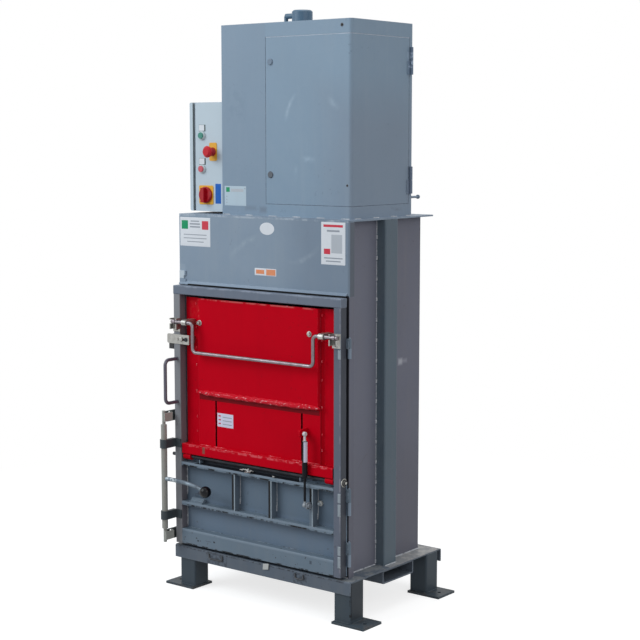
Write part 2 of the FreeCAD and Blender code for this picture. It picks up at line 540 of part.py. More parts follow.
node("pump_motor", turned("motor", "Z", motor_x, motor_y, tank_top, motor_outline))
valve_x = f"({tank_x} + fin_t)"
valve_y = f"({tank_y} + tank_d - valve_d - pack_gap)"
spool_x = f"({valve_x} - spool_l)"
hose_x = f"({valve_x} + valve_port)"
hose_y = f"({valve_y} + valve_side)"
hose_z = "(cab_top - hose_drop)"
valve_top = f"({tank_top} + valve_h)"
node("valve_block", block(valve_x, valve_y, tank_top, "valve_w", "valve_d", "valve_h"),
     rod("X", spool_x, hose_y, f"{tank_top} + valve_port", "spool_r", "spool_l"),
     rod("Z", hose_x, hose_y, valve_top, "hose_r + 3", "valve_boss"))
hose_path = [(hose_x, f"{valve_top} + valve_boss"), (hose_x, hose_z), (spool_x, hose_z)]
node("oil_hoses", bent_rod("upper_hose", "XZ", hose_y, hose_path, "hose_bend", "hose_r"),
     rod("X", "cyl_x", hose_y, hose_z, "hose_r", f"{spool_x} - cyl_x"))

# Control box: a hollow case on the hood's left side, with a lid that faces left.
box_x = "cab_x - box_w"
case = less(block(box_x, "box_y", "box_low", "box_w", "box_d", "box_h"),
            block(f"({box_x}) - thin", "box_y + thin", "box_low + thin", "box_w", "box_d - 2 * thin",
                  "box_h - 2 * thin"))
neck_x = f"({box_x}) - box_neck"
neck = less(block(neck_x, "box_y + neck_in", "box_low + neck_in", "box_neck", "box_d - 2 * neck_in",
                  "box_h - 2 * neck_in"),
            block(f"{neck_x} - thin", "box_y + neck_in + thin", "box_low + neck_in + thin",
                  "box_neck + 2 * thin", "box_d - 2 * neck_in - 2 * thin", "box_h - 2 * neck_in - 2 * thin"))
lid_x = f"({neck_x} - lid_gap - lid_t)"
lid_pin_x = f"{lid_x} + lid_t / 2"
lid_pin_y = "box_y + box_d + lid_pin"
lid_hinges = []
for z in ("box_low + lid_pin_z - lid_leaf", "box_low + lid_pin_z + lid_barrel",
          "box_low + box_h - lid_pin_z - lid_barrel - lid_leaf", "box_low + box_h - lid_pin_z"):
    lid_hinges.append(rod("Z", lid_pin_x, lid_pin_y, z, "lid_pin", "lid_leaf"))
    lid_hinges.append(block(lid_pin_x, "box_y + box_d", z, f"{box_x} + 2 * lid_leaf - ({lid_pin_x})",
                            "lid_pin", "lid_leaf"))
node("control_box", case, neck, *lid_hinges)
lid = profile("lid", "XZ", "box_y", "box_d", [
    (lid_x, "box_low"), (f"{lid_x} + lid_t", "box_low"), (f"{lid_x} + lid_t", "box_low + box_h"),
    (lid_x, "box_low + box_h")], [((0, 3), "fold")])
node("box_lid", lid, rod("Z", lid_pin_x, lid_pin_y, "box_low + lid_pin_z", "lid_pin", "lid_barrel"),
     rod("Z", lid_pin_x, lid_pin_y, "box_low + box_h - lid_pin_z - lid_barrel", "lid_pin", "lid_barrel"))

# Controls on the box's front: two push buttons, a mushroom stop and a rotary isolator.
bezels = []
for label, z in (("start_button", "start_z"), ("stop_button", "stop_z")):
    bezels.append(turned(label + "_bezel", "Y", "button_x", "box_y - bezel_t", z, [
        ("button_r + fit", "0"), ("bezel_r - 2", "0"), ("bezel_r", "2"), ("bezel_r", "bezel_t"),
        ("button_r + fit", "bezel_t")]))
    node(label, turned(label, "Y", "button_x", "box_y - bezel_t - button_out", z, [
        ("0", "0"), ("button_r - 1", "0"), ("button_r", "1"), ("button_r", "bezel_t"), ("0", "bezel_t")]))
for name, x, z, wide, high in (("estop_plate", "estop_x", "estop_z", "estop_side", "estop_plate / 2"),
                               ("isolator_plate", "isolator_x", "isolator_z", "isolator_plate / 2",
                                "isolator_plate / 2")):
    bezels.append(profile(name, "XZ", "box_y - face_t", "face_t", [
        (f"{x} - {wide}", f"{z} - {high}"), (f"{x} + {wide}", f"{z} - {high}"),
        (f"{x} + {wide}", f"{z} + {high}"), (f"{x} - {wide}", f"{z} + {high}")],
        [((0, 1, 2, 3), "fold")]))
bezels.append(turned("estop_neck", "Y", "estop_x", "box_y - face_t - estop_neck", "estop_z", [
    ("estop_bore", "0"), ("estop_neck_r - 2", "0"), ("estop_neck_r", "estop_neck"),
    ("estop_bore", "estop_neck")]))
node("control_plates", *bezels)
stem_end = "estop_out - face_t - press_room"
node("emergency_stop", turned("emergency_stop", "Y", "estop_x", "box_y - estop_out", "estop_z", [
    ("0", "0"), ("estop_r - estop_bore", "0"), ("estop_r", "button_r - 3"), ("estop_r - 2", "estop_neck"),
    ("estop_bore - fit", "estop_neck"), ("estop_bore - fit", stem_end), ("0", stem_end)]))
rim_y = "box_y - face_t - isolator_out"
node("isolator_knob", turned("isolator_rim", "Y", "isolator_x", rim_y, "isolator_z", [
    ("0", "grip_out"), ("isolator_r - 3", "grip_out"), ("isolator_r", "isolator_out - press_room"),
    ("isolator_r", "isolator_out"), ("0", "isolator_out")]),
    block("isolator_x - grip_w / 2", rim_y, "isolator_z - isolator_r + 3", "grip_w", "grip_out + 1",
          "2 * isolator_r - 6"))

# Main door: a frame of square tube, ribbed below and open above for the gate.
post_left = "post_in"
hinge_x = "(body_w + hinge_out)"
post_right = f"({hinge_x} - hinge_gap - knuckle_r - post)"
door_far_x = f"{post_right} + post"
post_y = "-door_front"
rail_x = f"{post_left} + post"
rail_w = f"{post_right} - ({rail_x})"
skin_y = "-door_back - skin"
catch_left = f"{post_left} + 1"
catch_right = f"{door_far_x} - 1 - catch_w"
for side, x, catch_x in (("left", post_left, catch_left), ("right", post_right, catch_right)):
    far = f"{x} + post"
    tube = profile(f"post_{side}", "XY", "door_low", "door_top - post - door_low", [
        (x, post_y), (far, post_y), (far, f"{post_y} + post"), (x, f"{post_y} + post")],
        [((0, 1, 2, 3), "tube_wall")], inner=[[
            (f"{x} + tube_wall", f"{post_y} + tube_wall"), (f"{far} - tube_wall", f"{post_y} + tube_wall"),
            (f"{far} - tube_wall", f"{post_y} + post - tube_wall"),
            (f"{x} + tube_wall", f"{post_y} + post - tube_wall")]])
    pivot_hole = rod("X", f"{x} - 1", "-pivot_y", "pivot_z", "pivot_r + fit", "post + 2")
    nose_slot = block(f"{catch_x} + catch_w / 2 - nose_w / 2 - 1", f"{post_y} - 1", "bar_z - slot_under",
                      "nose_w + 2", "tube_wall + 2", "slot_under + slot_over")
    node(f"door_post_{side}", less(tube, pivot_hole, nose_slot))
node("door_top_rail", profile("top_rail", "YZ", post_left, f"{door_far_x} - post_in", [
    (post_y, "door_top - post"), (f"{post_y} + post", "door_top - post"), (f"{post_y} + post", "door_top"),
    (post_y, "door_top")], [((0, 1, 2, 3), "tube_wall")], inner=[[
        (f"{post_y} + tube_wall", "door_top - post + tube_wall"),
        (f"{post_y} + post - tube_wall", "door_top - post + tube_wall"),
        (f"{post_y} + post - tube_wall", "door_top - tube_wall"),
        (f"{post_y} + tube_wall", "door_top - tube_wall")]]))
web_y = f"{post_y} + tube_wall"
bottom_top = "door_low + bottom_h"
node("door_bottom_rail", profile("bottom_rail", "YZ", rail_x, rail_w, [
    (post_y, "door_low"), (skin_y, "door_low"), (skin_y, "door_low + tube_wall"),
    (web_y, "door_low + tube_wall"), (web_y, f"{bottom_top} - tube_wall"),
    (skin_y, f"{bottom_top} - tube_wall"), (skin_y, bottom_top), (post_y, bottom_top)],
    [((0, 7), "tube_wall")]))
node("door_skin", block(post_left, skin_y, "door_low", f"{door_far_x} - post_in", "skin",
                        "sill_z + skin_over - door_low"))
rail_d = "door_front - door_back - skin"
mid_top = "mid_z + rail_t"
tabs = [block(x, f"{post_y} + tab_in", "sill_z + rail_t", "skin", "tab_d", "tab_h")
        for x in ("tab_x", f"{door_far_x} - tab_far")]
node("door_sill_rail", block(rail_x, post_y, "sill_z", rail_w, rail_d, "rail_t"), *tabs)
node("door_mid_rail", block(rail_x, post_y, "mid_z", rail_w, rail_d, "rail_t"),
     profile("lever_rest", "YZ", "rest_x", "rest_w", [
         (post_y, mid_top), (f"{post_y} + rest_d", mid_top), (f"{post_y} + rest_d", f"{mid_top} + rest_h"),
         (f"{post_y} + rest_d - rest_lip", f"{mid_top} + rest_h"),
         (f"{post_y} + rest_lip", f"{mid_top} + rest_lip"), (post_y, f"{mid_top} + rest_lip")]))

strut_lug_x = "strut_x - strut_eye_t / 2 - stud_gap - 8 - strut_lug_t"
ribs = [block(f"rib_x + {step} * rib_pitch", post_y, mid_top, "rib_t", rail_d, f"sill_z - ({mid_top})")
        for step in (0, 1)]
ribs.append(block("strut_x + 10", post_y, "mid_z + rail_t", "rib_t", rail_d, "sill_z - mid_z - rail_t"))
lower_lug = profile("strut_lower_lug", "YZ", "strut_x + 10", "strut_lug_t", [
    (post_y, "strut_low - strut_lug_r"), ("-strut_y - 9", "strut_low - strut_lug_r"),
    ("-strut_y - 9", "strut_low + strut_lug_r"), (post_y, "strut_low + strut_lug_r")],
    [((1, 2), "fold")])
lower_stud = rod("X", "strut_x + strut_eye_t / 2 + stud_gap", "-strut_y", "strut_low", "stud_r",
                 "10 - strut_eye_t / 2 - stud_gap")
lower_nut = rod("X", "strut_x + 10 + strut_lug_t", "-strut_y", "strut_low", "stud_r + 4", "6")
node("door_ribs", *ribs, lower_lug, lower_stud, lower_nut)


def knuckle(leaf, z, high, bore):
    """One hinge knuckle at height z, welded to its leaf and bored for the pin if asked."""
    joined = doc.addObject("Part::MultiFuse", "knuckle")
    joined.Shapes = [leaf, rod("Z", hinge_x, "-hinge_y", z, "knuckle_r", high)]
    if not bore:
        return joined
    return less(joined, rod("Z", hinge_x, "-hinge_y", f"{z} - 1", "pin_r + fit", f"{high} + 2"))


door_leaves, body_leaves = [], []
for step in ("low", "mid", "top"):
    low, high = f"hinge_{step}_z", f"hinge_{step}_h"
    above = f"{low} + {high} + stud_gap"
    body_leaf = block("body_w", "0", low, "hinge_out", "hinge_y", high)
    body_leaves.append(knuckle(body_leaf, low, high, False))
    body_leaves.append(rod("Z", hinge_x, "-hinge_y", f"{low} + {high}", "pin_r", f"{high} + pin_over"))
    leaf_y = "-hinge_y - hinge_leaf - 1"
    door_leaf = block(door_far_x, leaf_y, above, f"{hinge_x} - ({door_far_x})", "hinge_leaf", high)
    door_leaves.append(knuckle(door_leaf, above, high, True))
node("door_hinges", *door_leaves)
node("frame_hinges", *body_leaves)

node("grab_handle", bent_rod("grab", "YZ", f"{post_left} + post / 2", [
    (post_y, "grab_low"), (f"{post_y} - grab_out", "grab_low"), (f"{post_y} - grab_out", "grab_low + grab_h"),
    (post_y, "grab_low + grab_h")], "grab_bend", "grab_r"))

# Gate: a folded red flap over the strap slots, hinged along its foot on a through rod.
gate_x = f"{rail_x} + gate_gap"
gate_far = f"{post_right} - gate_gap"
raised = f"{gate_x} + gate_edge"
raised_far = f"{gate_far} - gate_edge"
gate_back = "-strip_back"
strip = "-strip_back - thin"
panel = profile("gate_panel", "XY", "gate_low + gate_flange_h", "gate_top - gate_low - gate_flange_h", [
    (gate_x, strip), (f"{raised} - gate_slope", strip), (raised, "-gate_front"), (raised_far, "-gate_front"),
    (f"{raised_far} + gate_slope", strip), (gate_far, strip), (gate_far, gate_back),
    (f"{raised_far} + gate_slope - 1", gate_back), (f"{raised_far} - 1", "thin - gate_front"),
    (f"{raised} + 1", "thin - gate_front"), (f"{raised} - gate_slope + 1", gate_back), (gate_x, gate_back)])
slots = [block(x, "-gate_front - 1", "slot_low", "slot_w", "thin + 2", "slot_h")
         for x in (f"{gate_x} + slot_x", f"{gate_far} - slot_x - slot_w")]
node("gate_panel", less(panel, *slots))
plate_back = "thin - plate_front"
node("gate_plate", profile("gate_plate", "XY", "gate_plate_low", "gate_top - gate_plate_low", [
    (raised, "-gate_front"), (f"{raised} + ridge", "-plate_front"), (f"{raised_far} - ridge", "-plate_front"),
    (raised_far, "-gate_front"), (f"{raised_far} - thin", "-gate_front"),
    (f"{raised_far} - ridge - 2", plate_back), (f"{raised} + ridge + 2", plate_back),
    (f"{raised} + thin", "-gate_front")]))
flange_far = "gate_low + gate_flange_h"
flange_box = profile("flange", "YZ", gate_x, f"{gate_far} - ({gate_x})", [
    (post_y, "gate_low"), ("-flange_back", "gate_low"), ("-flange_back", "gate_low + thin"),
    (f"{post_y} + thin", "gate_low + thin"), (f"{post_y} + thin", f"{flange_far} - thin"),
    (gate_back, f"{flange_far} - thin"), (gate_back, flange_far), (post_y, flange_far)], [((0, 7), "thin")])
lugs = []
for x in (f"{gate_x} + 1", f"{gate_far} - 1 - pivot_lug_w"):
    eye = doc.addObject("Part::MultiFuse", "eye")
    eye.Shapes = [rod("X", x, "-pivot_y", "pivot_z", "pivot_lug_r - 2", "pivot_lug_w"),
                  block(x, "-pivot_y - pivot_lug_d / 2", "pivot_z", "pivot_lug_w", "pivot_lug_d",
                        "gate_low - pivot_z")]
    lugs.append(less(eye, rod("X", f"{x} - 1", "-pivot_y", "pivot_z", "pivot_r + fit", "pivot_lug_w + 2")))
node("gate_flange", flange_box, *lugs)
pivot_x = f"{post_left} - pivot_out"
node("gate_pivot",
     rod("X", pivot_x, "-pivot_y", "pivot_z", "pivot_r", f"{door_far_x} + pivot_head - 1 - ({pivot_x})"),
     turned("pivot_head", "X", f"{door_far_x} + 1", "-pivot_y", "pivot_z", [
         ("0", "0"), ("pivot_head", "0"), ("pivot_head", "pivot_head / 2"),
         ("pivot_head * 0.7", "pivot_head - 1"), ("0", "pivot_head - 1")]))

# Latch bar: a bent round bar across the gate, its end noses pushed home behind the posts.
bar_left = f"{gate_x} - post"
bar_right = f"{gate_far} + post"
bend_left, bend_right = "bar_x + post_in", f"{door_far_x} - bar_x"
bends = [(bar_left, "bar_z"), (bend_left, "bar_z"), (bend_left, "bar_z - bar_drop"),
         (bend_right, "bar_z - bar_drop"), (bend_right, "bar_z"), (bar_right, "bar_z")]
latch = [bent_rod("latch_bar", "XZ", "-bar_y", bends, "bar_bend", "bar_r")]
for catch_x in (catch_left, catch_right):
    x = f"{catch_x} + catch_w / 2 - nose_w / 2"
    latch.append(rod("X", x, "-bar_y", "bar_z", "nose_r", "nose_w"))
    latch.append(block(x, "-bar_y", "bar_z - nose_t", "nose_w", "nose_reach", "nose_t"))
    latch.append(block(x, "-bar_y + nose_reach - barb_t", "bar_z - nose_t", "nose_w", "barb_t",
                       "nose_t + barb"))
node("latch_bar", *latch)
bearings = []
for x in (f"{gate_x} + bearing_x", f"{gate_far} - bearing_x - bearing_w"):
    web = doc.addObject("Part::MultiFuse", "web")
    web.Shapes = [rod("X", x, "-bar_y", "bar_z", "bearing_r", "bearing_w"),
                  block(x, "-bar_y", "bar_z - bearing_r", "bearing_w", f"bar_y + ({strip})", "2 * bearing_r")]
    bearings.append(less(web, rod("X", f"{x} - 1", "-bar_y", "bar_z", "bar_r + fit", "bearing_w + 2")))
node("bar_bearings", *bearings)
catches = []
for x in (catch_left, catch_right):
    base = block(x, f"{post_y} - thin", "bar_z - slot_under - catch_wall", "catch_w", "thin",
                 "slot_under + catch_wall + catch_up")
    hole = block(f"{x} + catch_w / 2 - nose_w / 2 - 1", f"{post_y} - thin - 1", "bar_z - slot_under",
                 "nose_w + 2", "thin + 2", "slot_under + slot_over")
    ears = [block(ear_x, f"{post_y} - catch_out", "bar_z - catch_low", "catch_wall", "catch_out",
                  "catch_low + catch_up") for ear_x in (x, f"{x} + catch_w - catch_wall")]
    bracket = doc.addObject("Part::MultiFuse", "bracket")
    bracket.Shapes = [base, *ears]
    mouth = block(f"{x} - 1", f"{post_y} - catch_out - 1", "bar_z - bar_r - 1", "catch_w + 2",
                  "door_front + catch_out - bar_y + bar_r + 2", "2 * bar_r + 2")
    catches.append(less(bracket, hole, mouth))
node("bar_catches", *catches)

# Door lock: an upright tube in two brackets, with hooks that turn into the body arms' windows.
arms = []
for z in ("arm_low_z", "arm_top_z"):
    arm = profile("arm", "YZ", "-arm_t", "arm_t", [
        ("upright_d", z), ("-arm_out", z), ("-arm_out", f"{z} + arm_h"), ("upright_d", f"{z} + arm_h")],
        [((1, 2), "fold")])
    window = block("-arm_t - 1", "-lock_y + hook_reach - hook_bite - window_gap",
                   f"{z} + arm_h / 2 - window_h / 2", "arm_t + 2", "hook_bite + 3 * window_gap", "window_h")
    arms.append(less(arm, window))
node("lock_arms", *arms)
axle_low = "(arm_low_z - axle_over)"
axle_h = f"arm_top_z + arm_h + axle_over - {axle_low}"
tube = turned("lock_tube", "Z", "0", "-lock_y", axle_low, [
    ("0", "0"), ("lock_axle_r", "0"), ("lock_axle_r", f"lock_low - {axle_low}"),
    ("lock_r", f"lock_low - {axle_low}"), ("lock_r", f"lock_low + lock_h - {axle_low}"),
    ("lock_axle_r", f"lock_low + lock_h - {axle_low}"), ("lock_axle_r", axle_h), ("0", axle_h)])
lock_solids = [tube]
hook_x = "lock_axle_r + stud_gap"
hook_far = "lock_axle_r + stud_gap + hook_t"
barb_y = "-lock_y + hook_reach - hook_bite"
hook_end = "-lock_y + hook_reach"
for z in ("arm_low_z", "arm_top_z"):
    lock_solids.append(profile("hook", "XY", f"{z} + arm_h / 2 - hook_h / 2", "hook_h", [
        (hook_x, "-lock_y - lock_axle_r"), (hook_far, "-lock_y - lock_axle_r"), (hook_far, hook_end),
        ("hook_gap", hook_end), ("hook_gap", barb_y), (hook_x, barb_y)]))
group = doc.addObject("Part::Compound", "lock_tube_and_hooks")
group.Links = lock_solids
node("lock_tube", group)
brackets = []
for z in ("bracket_low", "bracket_z"):
    plate_x = "lock_r + bracket_wall"
    strap = doc.addObject("Part::MultiFuse", "strap")
    strap.Shapes = [rod("Z", "0", "-lock_y", z, "lock_r + bracket_wall", "bracket_h"),
                    block("0", "-lock_y", z, plate_x, "lock_y - door_front", "bracket_h"),
                    block("0", f"{post_y} - bracket_wall", z, "post + post_in", "bracket_wall", "bracket_h")]
    brackets.append(less(strap, rod("Z", "0", "-lock_y", f"{z} - 1", "lock_r + fit", "bracket_h + 2")))
node("lock_brackets", *brackets)
tilt = FreeCAD.Rotation(FreeCAD.Vector(0, 1, 0), 90 + number("lever_tilt"))
lever = doc.addObject("Part::Cylinder", "lever")
bind(lever, {"Radius": "lever_r", "Height": "lever_l"})
put(lever, "0", "-lock_y", "lever_z", tilt)
node("lock_lever", less(lever, rod("Z", "0", "-lock_y", "lever_z - bracket_h", "lock_r", "2 * bracket_h")))
knob = ball("lever_l * cos(lever_tilt)", "-lock_y", "lever_z - lever_l * sin(lever_tilt)", "knob_r")
knob_bore = doc.addObject("Part::Cylinder", "knob_bore")
bind(knob_bore, {"Radius": "lever_r + fit", "Height": "lever_l"})
put(knob_bore, "0", "-lock_y", "lever_z", tilt)
node("lock_knob", less(knob, knob_bore))

# Gas strut between the gate and the lower door, with a ball stud at each end.
strut_base = "(strut_top - strut_neck - strut_tube_h)"
eye_x = "strut_x - strut_eye_t / 2"
node("strut_tube", turned("strut_tube", "Z", "strut_x", "-strut_y", strut_base, [
    ("strut_rod_r + fit", "0"), ("strut_r - 2", "0"), ("strut_r", "3"), ("strut_r", "strut_tube_h - 3"),
    ("strut_r - 3", "strut_tube_h"), ("0", "strut_tube_h"), ("0", "strut_tube_h - strut_end"),
    ("strut_rod_r + fit", "strut_tube_h - strut_end")]),
    rod("Z", "strut_x", "-strut_y", "strut_top - strut_neck", "strut_rod_r", "strut_neck"),
    rod("X", eye_x, "-strut_y", "strut_top", "strut_eye_r", "strut_eye_t"))
strut_rod_l = f"{strut_base} + strut_in - strut_low"
node("strut_rod", rod("Z", "strut_x", "-strut_y", "strut_low", "strut_rod_r", strut_rod_l),
     rod("X", eye_x, "-strut_y", "strut_low", "strut_eye_r", "strut_eye_t"))
lug_front = "-strut_y - strut_lug_out"
upper_lug = profile("strut_upper_lug", "YZ", strut_lug_x, "strut_lug_t", [
    ("-gate_front", "strut_top - strut_lug_r - stud_r"), (lug_front, "strut_top - strut_lug_r"),
    (lug_front, "strut_top + strut_lug_r"), ("-gate_front", "strut_top + strut_lug_r + stud_r")],
    [((1, 2), "fold")])
node("strut_bracket", upper_lug,
     rod("X", f"{strut_lug_x} + strut_lug_t", "-strut_y", "strut_top", "stud_r", "stud_l"))

# Interlock: a slotted tag on the gate reaches over the post in front of a switch on the body.
tag_far = "tag_x + tag_w"
tag_top = "tag_low + tag_h"
slot_far = "tag_x + tag_slot_x + tag_slot_w"
slot_top = "tag_low + tag_slot_z + tag_slot_h"
tag_plate = profile("tag", "XZ", f"{post_y} - thin", "thin", [
    ("tag_x", "tag_low"), (tag_far, "tag_low"), (tag_far, tag_top), ("tag_x", tag_top)],
    [((0, 3), "fold")], inner=[[
        ("tag_x + tag_slot_x", "tag_low + tag_slot_z"), (slot_far, "tag_low + tag_slot_z"),
        (slot_far, slot_top), ("tag_x + tag_slot_x", slot_top)]])
node("interlock_tag", tag_plate,
     block(f"{tag_far} - tag_foot", post_y, "tag_low + tag_in", "tag_foot", f"door_front + ({strip})",
           "tag_h - 2 * tag_in"))
node("interlock_switch", block("post_in - switch_gap - switch_w", "1 - door_front", "switch_low", "switch_w",
                               "door_front - 1", "switch_h"))

# Strap clips: bent wire hooks on the bed's front flange, below the gate's slots.
clips = []
clip_top = "clip_z + clip_h"
for x, wide in (("clip_left", "clip_w"), ("clip_right", "clip_small_w")):
    far = f"{x} + {wide}"
    clips.append(bent_rod("clip", "XZ", "-bed_out - clip_wire", [
        (x, clip_top), (x, "clip_z"), (far, "clip_z"), (far, clip_top)], "fold", "clip_wire"))
node("strap_clips", *clips)

doc.recompute()
os.makedirs("parts", exist_ok=True)
for item in doc.Objects:
    if {"Invalid", "Error"} & set(item.State):
        raise RuntimeError(f"{item.Label} failed: {item.State}")
for item in nodes:
    if item.Shape.isNull() or not item.Shape.isValid():
        raise RuntimeError(f"{item.Label} has no valid shape")
for item in nodes:
    item.Shape.exportStep(f"parts/{item.Label}.step")
print(len(nodes), "nodes written")
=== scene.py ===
import math

import bmesh
import bpy
import numpy as np
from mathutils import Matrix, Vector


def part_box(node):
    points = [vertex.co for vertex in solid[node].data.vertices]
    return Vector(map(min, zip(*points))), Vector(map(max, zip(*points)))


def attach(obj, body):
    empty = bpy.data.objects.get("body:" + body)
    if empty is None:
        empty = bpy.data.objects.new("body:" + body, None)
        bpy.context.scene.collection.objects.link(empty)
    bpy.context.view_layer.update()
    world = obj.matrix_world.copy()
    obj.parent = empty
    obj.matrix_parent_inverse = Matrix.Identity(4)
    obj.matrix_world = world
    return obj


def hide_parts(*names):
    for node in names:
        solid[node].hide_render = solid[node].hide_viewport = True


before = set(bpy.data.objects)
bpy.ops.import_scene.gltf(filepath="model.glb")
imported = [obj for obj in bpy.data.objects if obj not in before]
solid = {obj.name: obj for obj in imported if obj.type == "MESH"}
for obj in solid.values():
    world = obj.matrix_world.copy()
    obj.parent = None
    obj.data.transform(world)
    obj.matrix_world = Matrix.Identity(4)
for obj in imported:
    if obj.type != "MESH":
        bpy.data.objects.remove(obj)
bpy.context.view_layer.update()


# --- Bed, legs and foot plates -------------------------------------------------------------
# A folded steel tray on four square legs with drilled foot plates, welded up and
# sprayed with one coat of grey-blue machine enamel that is dull, dusty and chipped at edges.
def wire(tree, kind, inputs=None, **settings):
    """Add one shader node, set its options, and feed its inputs with values or sockets."""
    made = tree.nodes.new(kind)
    for name, value in settings.items():
        setattr(made, name, value)
    for name, value in (inputs or {}).items():
        if isinstance(value, bpy.types.NodeSocket):
            tree.links.new(value, made.inputs[name])
        else:
            made.inputs[name].default_value = value
    return made


def shader_group(name, inputs, outputs):
    """Start a node group with named inputs (kind, default) and outputs (kind)."""
    tree = bpy.data.node_groups.new(name, "ShaderNodeTree")
    for label, (kind, value) in inputs.items():
        socket = tree.interface.new_socket(label, in_out="INPUT", socket_type="NodeSocket" + kind)
        socket.default_value = value
    for label, kind in outputs.items():
        tree.interface.new_socket(label, in_out="OUTPUT", socket_type="NodeSocket" + kind)
    return tree, tree.nodes.new("NodeGroupInput").outputs, tree.nodes.new("NodeGroupOutput")


def linear_colour(screen):
    """A screen colour (0 to 255) as the linear colour that shaders use."""
    scaled = np.array(screen) / 255
    linear = np.where(scaled <= 0.04045, scaled / 12.92, ((scaled + 0.055) / 1.055) ** 2.4)
    return (*linear.tolist(), 1.0)


def maths(tree, operation, *values, clamp=False):
    """One arithmetic node on values or sockets."""
    made = wire(tree, "ShaderNodeMath", dict(enumerate(values)), operation=operation, use_clamp=clamp)
    return made.outputs[0]


def noise(tree, where, scale, detail=3.0, rough=0.5):
    """Smooth noise from 0 to 1 at a scale in waves per metre."""
    made = wire(tree, "ShaderNodeTexNoise", {"Vector": where, "Scale": scale, "Detail": detail,
                                             "Roughness": rough})
    return made.outputs["Fac"]


def ramp(tree, value, low, high):
    """Stretch a value so that low becomes 0 and high becomes 1."""
    made = wire(tree, "ShaderNodeMapRange", {"Value": value, "From Min": low, "From Max": high})
    return made.outputs["Result"]


def blend_colour(tree, share, under, over):
    """Lay one colour over another by a share from 0 to 1."""
    made = wire(tree, "ShaderNodeMix", {0: share, 6: under, 7: over}, data_type="RGBA")
    return made.outputs[2]


def worn_paint_group():
    """Sprayed enamel: broad tint drift, dusty run-down streaks, rubbed edges and small chips."""
    tree, given, result = shader_group(
        "worn_paint",
        {"Paint": ("Color", (0.2, 0.2, 0.2, 1)), "Rubbed": ("Color", (0.5, 0.5, 0.5, 1)),
         "Chipped": ("Color", (0.04, 0.03, 0.03, 1)), "Dust": ("Color", (0.4, 0.4, 0.38, 1)),
         "Edge wear": ("Float", 0.6), "Chips": ("Float", 0.3),
         "Dustiness": ("Float", 0.3), "Drift": ("Float", 0.25)},
        {"Color": "Color", "Roughness": "Float", "Height": "Float"})
    place = wire(tree, "ShaderNodeTexCoord").outputs["Object"]
    drift = noise(tree, place, 3.1, 4.0, 0.6)
    cloud = noise(tree, place, 17.0, 5.0, 0.65)
    peel = noise(tree, place, 520.0, 2.0)
    long_way = wire(tree, "ShaderNodeMapping", {"Vector": place, "Scale": (26.0, 26.0, 1.6)}).outputs[0]
    streaks = noise(tree, long_way, 1.0, 4.0, 0.6)
    edge_reach = 0.0028
    turned_face = wire(tree, "ShaderNodeBevel", {"Radius": edge_reach}, samples=4).outputs[0]
    true_face = wire(tree, "ShaderNodeNewGeometry").outputs["Normal"]
    facing = wire(tree, "ShaderNodeVectorMath", {0: turned_face, 1: true_face}, operation="DOT_PRODUCT")
    edge = ramp(tree, facing.outputs["Value"], 0.995, 0.86)
    ragged = ramp(tree, noise(tree, place, 95.0, 4.0, 0.7), 0.42, 0.62)
    edge = maths(tree, "MULTIPLY", edge, maths(tree, "MULTIPLY", ragged, given["Edge wear"]))
    spots = ramp(tree, noise(tree, place, 74.0, 3.0, 0.55), 0.665, 0.69)
    area = ramp(tree, noise(tree, place, 5.3, 2.0), 0.5, 0.6)
    nicks = maths(tree, "MULTIPLY", ramp(tree, noise(tree, place, 120.0, 2.0), 0.6, 0.64),
                  ramp(tree, facing.outputs["Value"], 0.99, 0.9))
    chip = maths(tree, "MULTIPLY", maths(tree, "MAXIMUM", maths(tree, "MULTIPLY", spots, area), nicks),
                 given["Chips"], clamp=True)
    bare = maths(tree, "MAXIMUM", edge, chip, clamp=True)
    shade = wire(tree, "ShaderNodeHueSaturation", {"Color": given["Paint"], "Value": maths(
        tree, "ADD", 1.0, maths(tree, "MULTIPLY", given["Drift"], maths(tree, "SUBTRACT", drift, 0.5)))})
    mottled = maths(tree, "MULTIPLY", ramp(tree, cloud, 0.38, 0.72), given["Dustiness"])
    runs = maths(tree, "MULTIPLY", ramp(tree, streaks, 0.5, 0.78), given["Dustiness"])
    dusty = maths(tree, "ADD", maths(tree, "MULTIPLY", mottled, 0.45), maths(tree, "MULTIPLY", runs, 0.6),
                  clamp=True)
    coated = blend_colour(tree, dusty, shade.outputs[0], given["Dust"])
    rubbed = blend_colour(tree, edge, coated, given["Rubbed"])
    tree.links.new(blend_colour(tree, chip, rubbed, given["Chipped"]), result.inputs["Color"])
    matt = maths(tree, "ADD", 0.36, maths(tree, "MULTIPLY", cloud, 0.2))
    tree.links.new(maths(tree, "ADD", matt, maths(tree, "MULTIPLY", dusty, 0.3), clamp=True),
                   result.inputs["Roughness"])
    relief = maths(tree, "SUBTRACT", maths(tree, "MULTIPLY", peel, 0.35), bare)
    tree.links.new(maths(tree, "ADD", relief, maths(tree, "MULTIPLY", drift, 1.5)), result.inputs["Height"])
    return tree


worn_paint = worn_paint_group()


corner = np.array([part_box("upright_left")[0][0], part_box("upright_left")[0][1], 0.0])


def spot(x, y, z):
    """A place given in millimetres from the body's front left corner on the floor, in the frame."""
    return corner + np.array([x, y, z]) / 1000


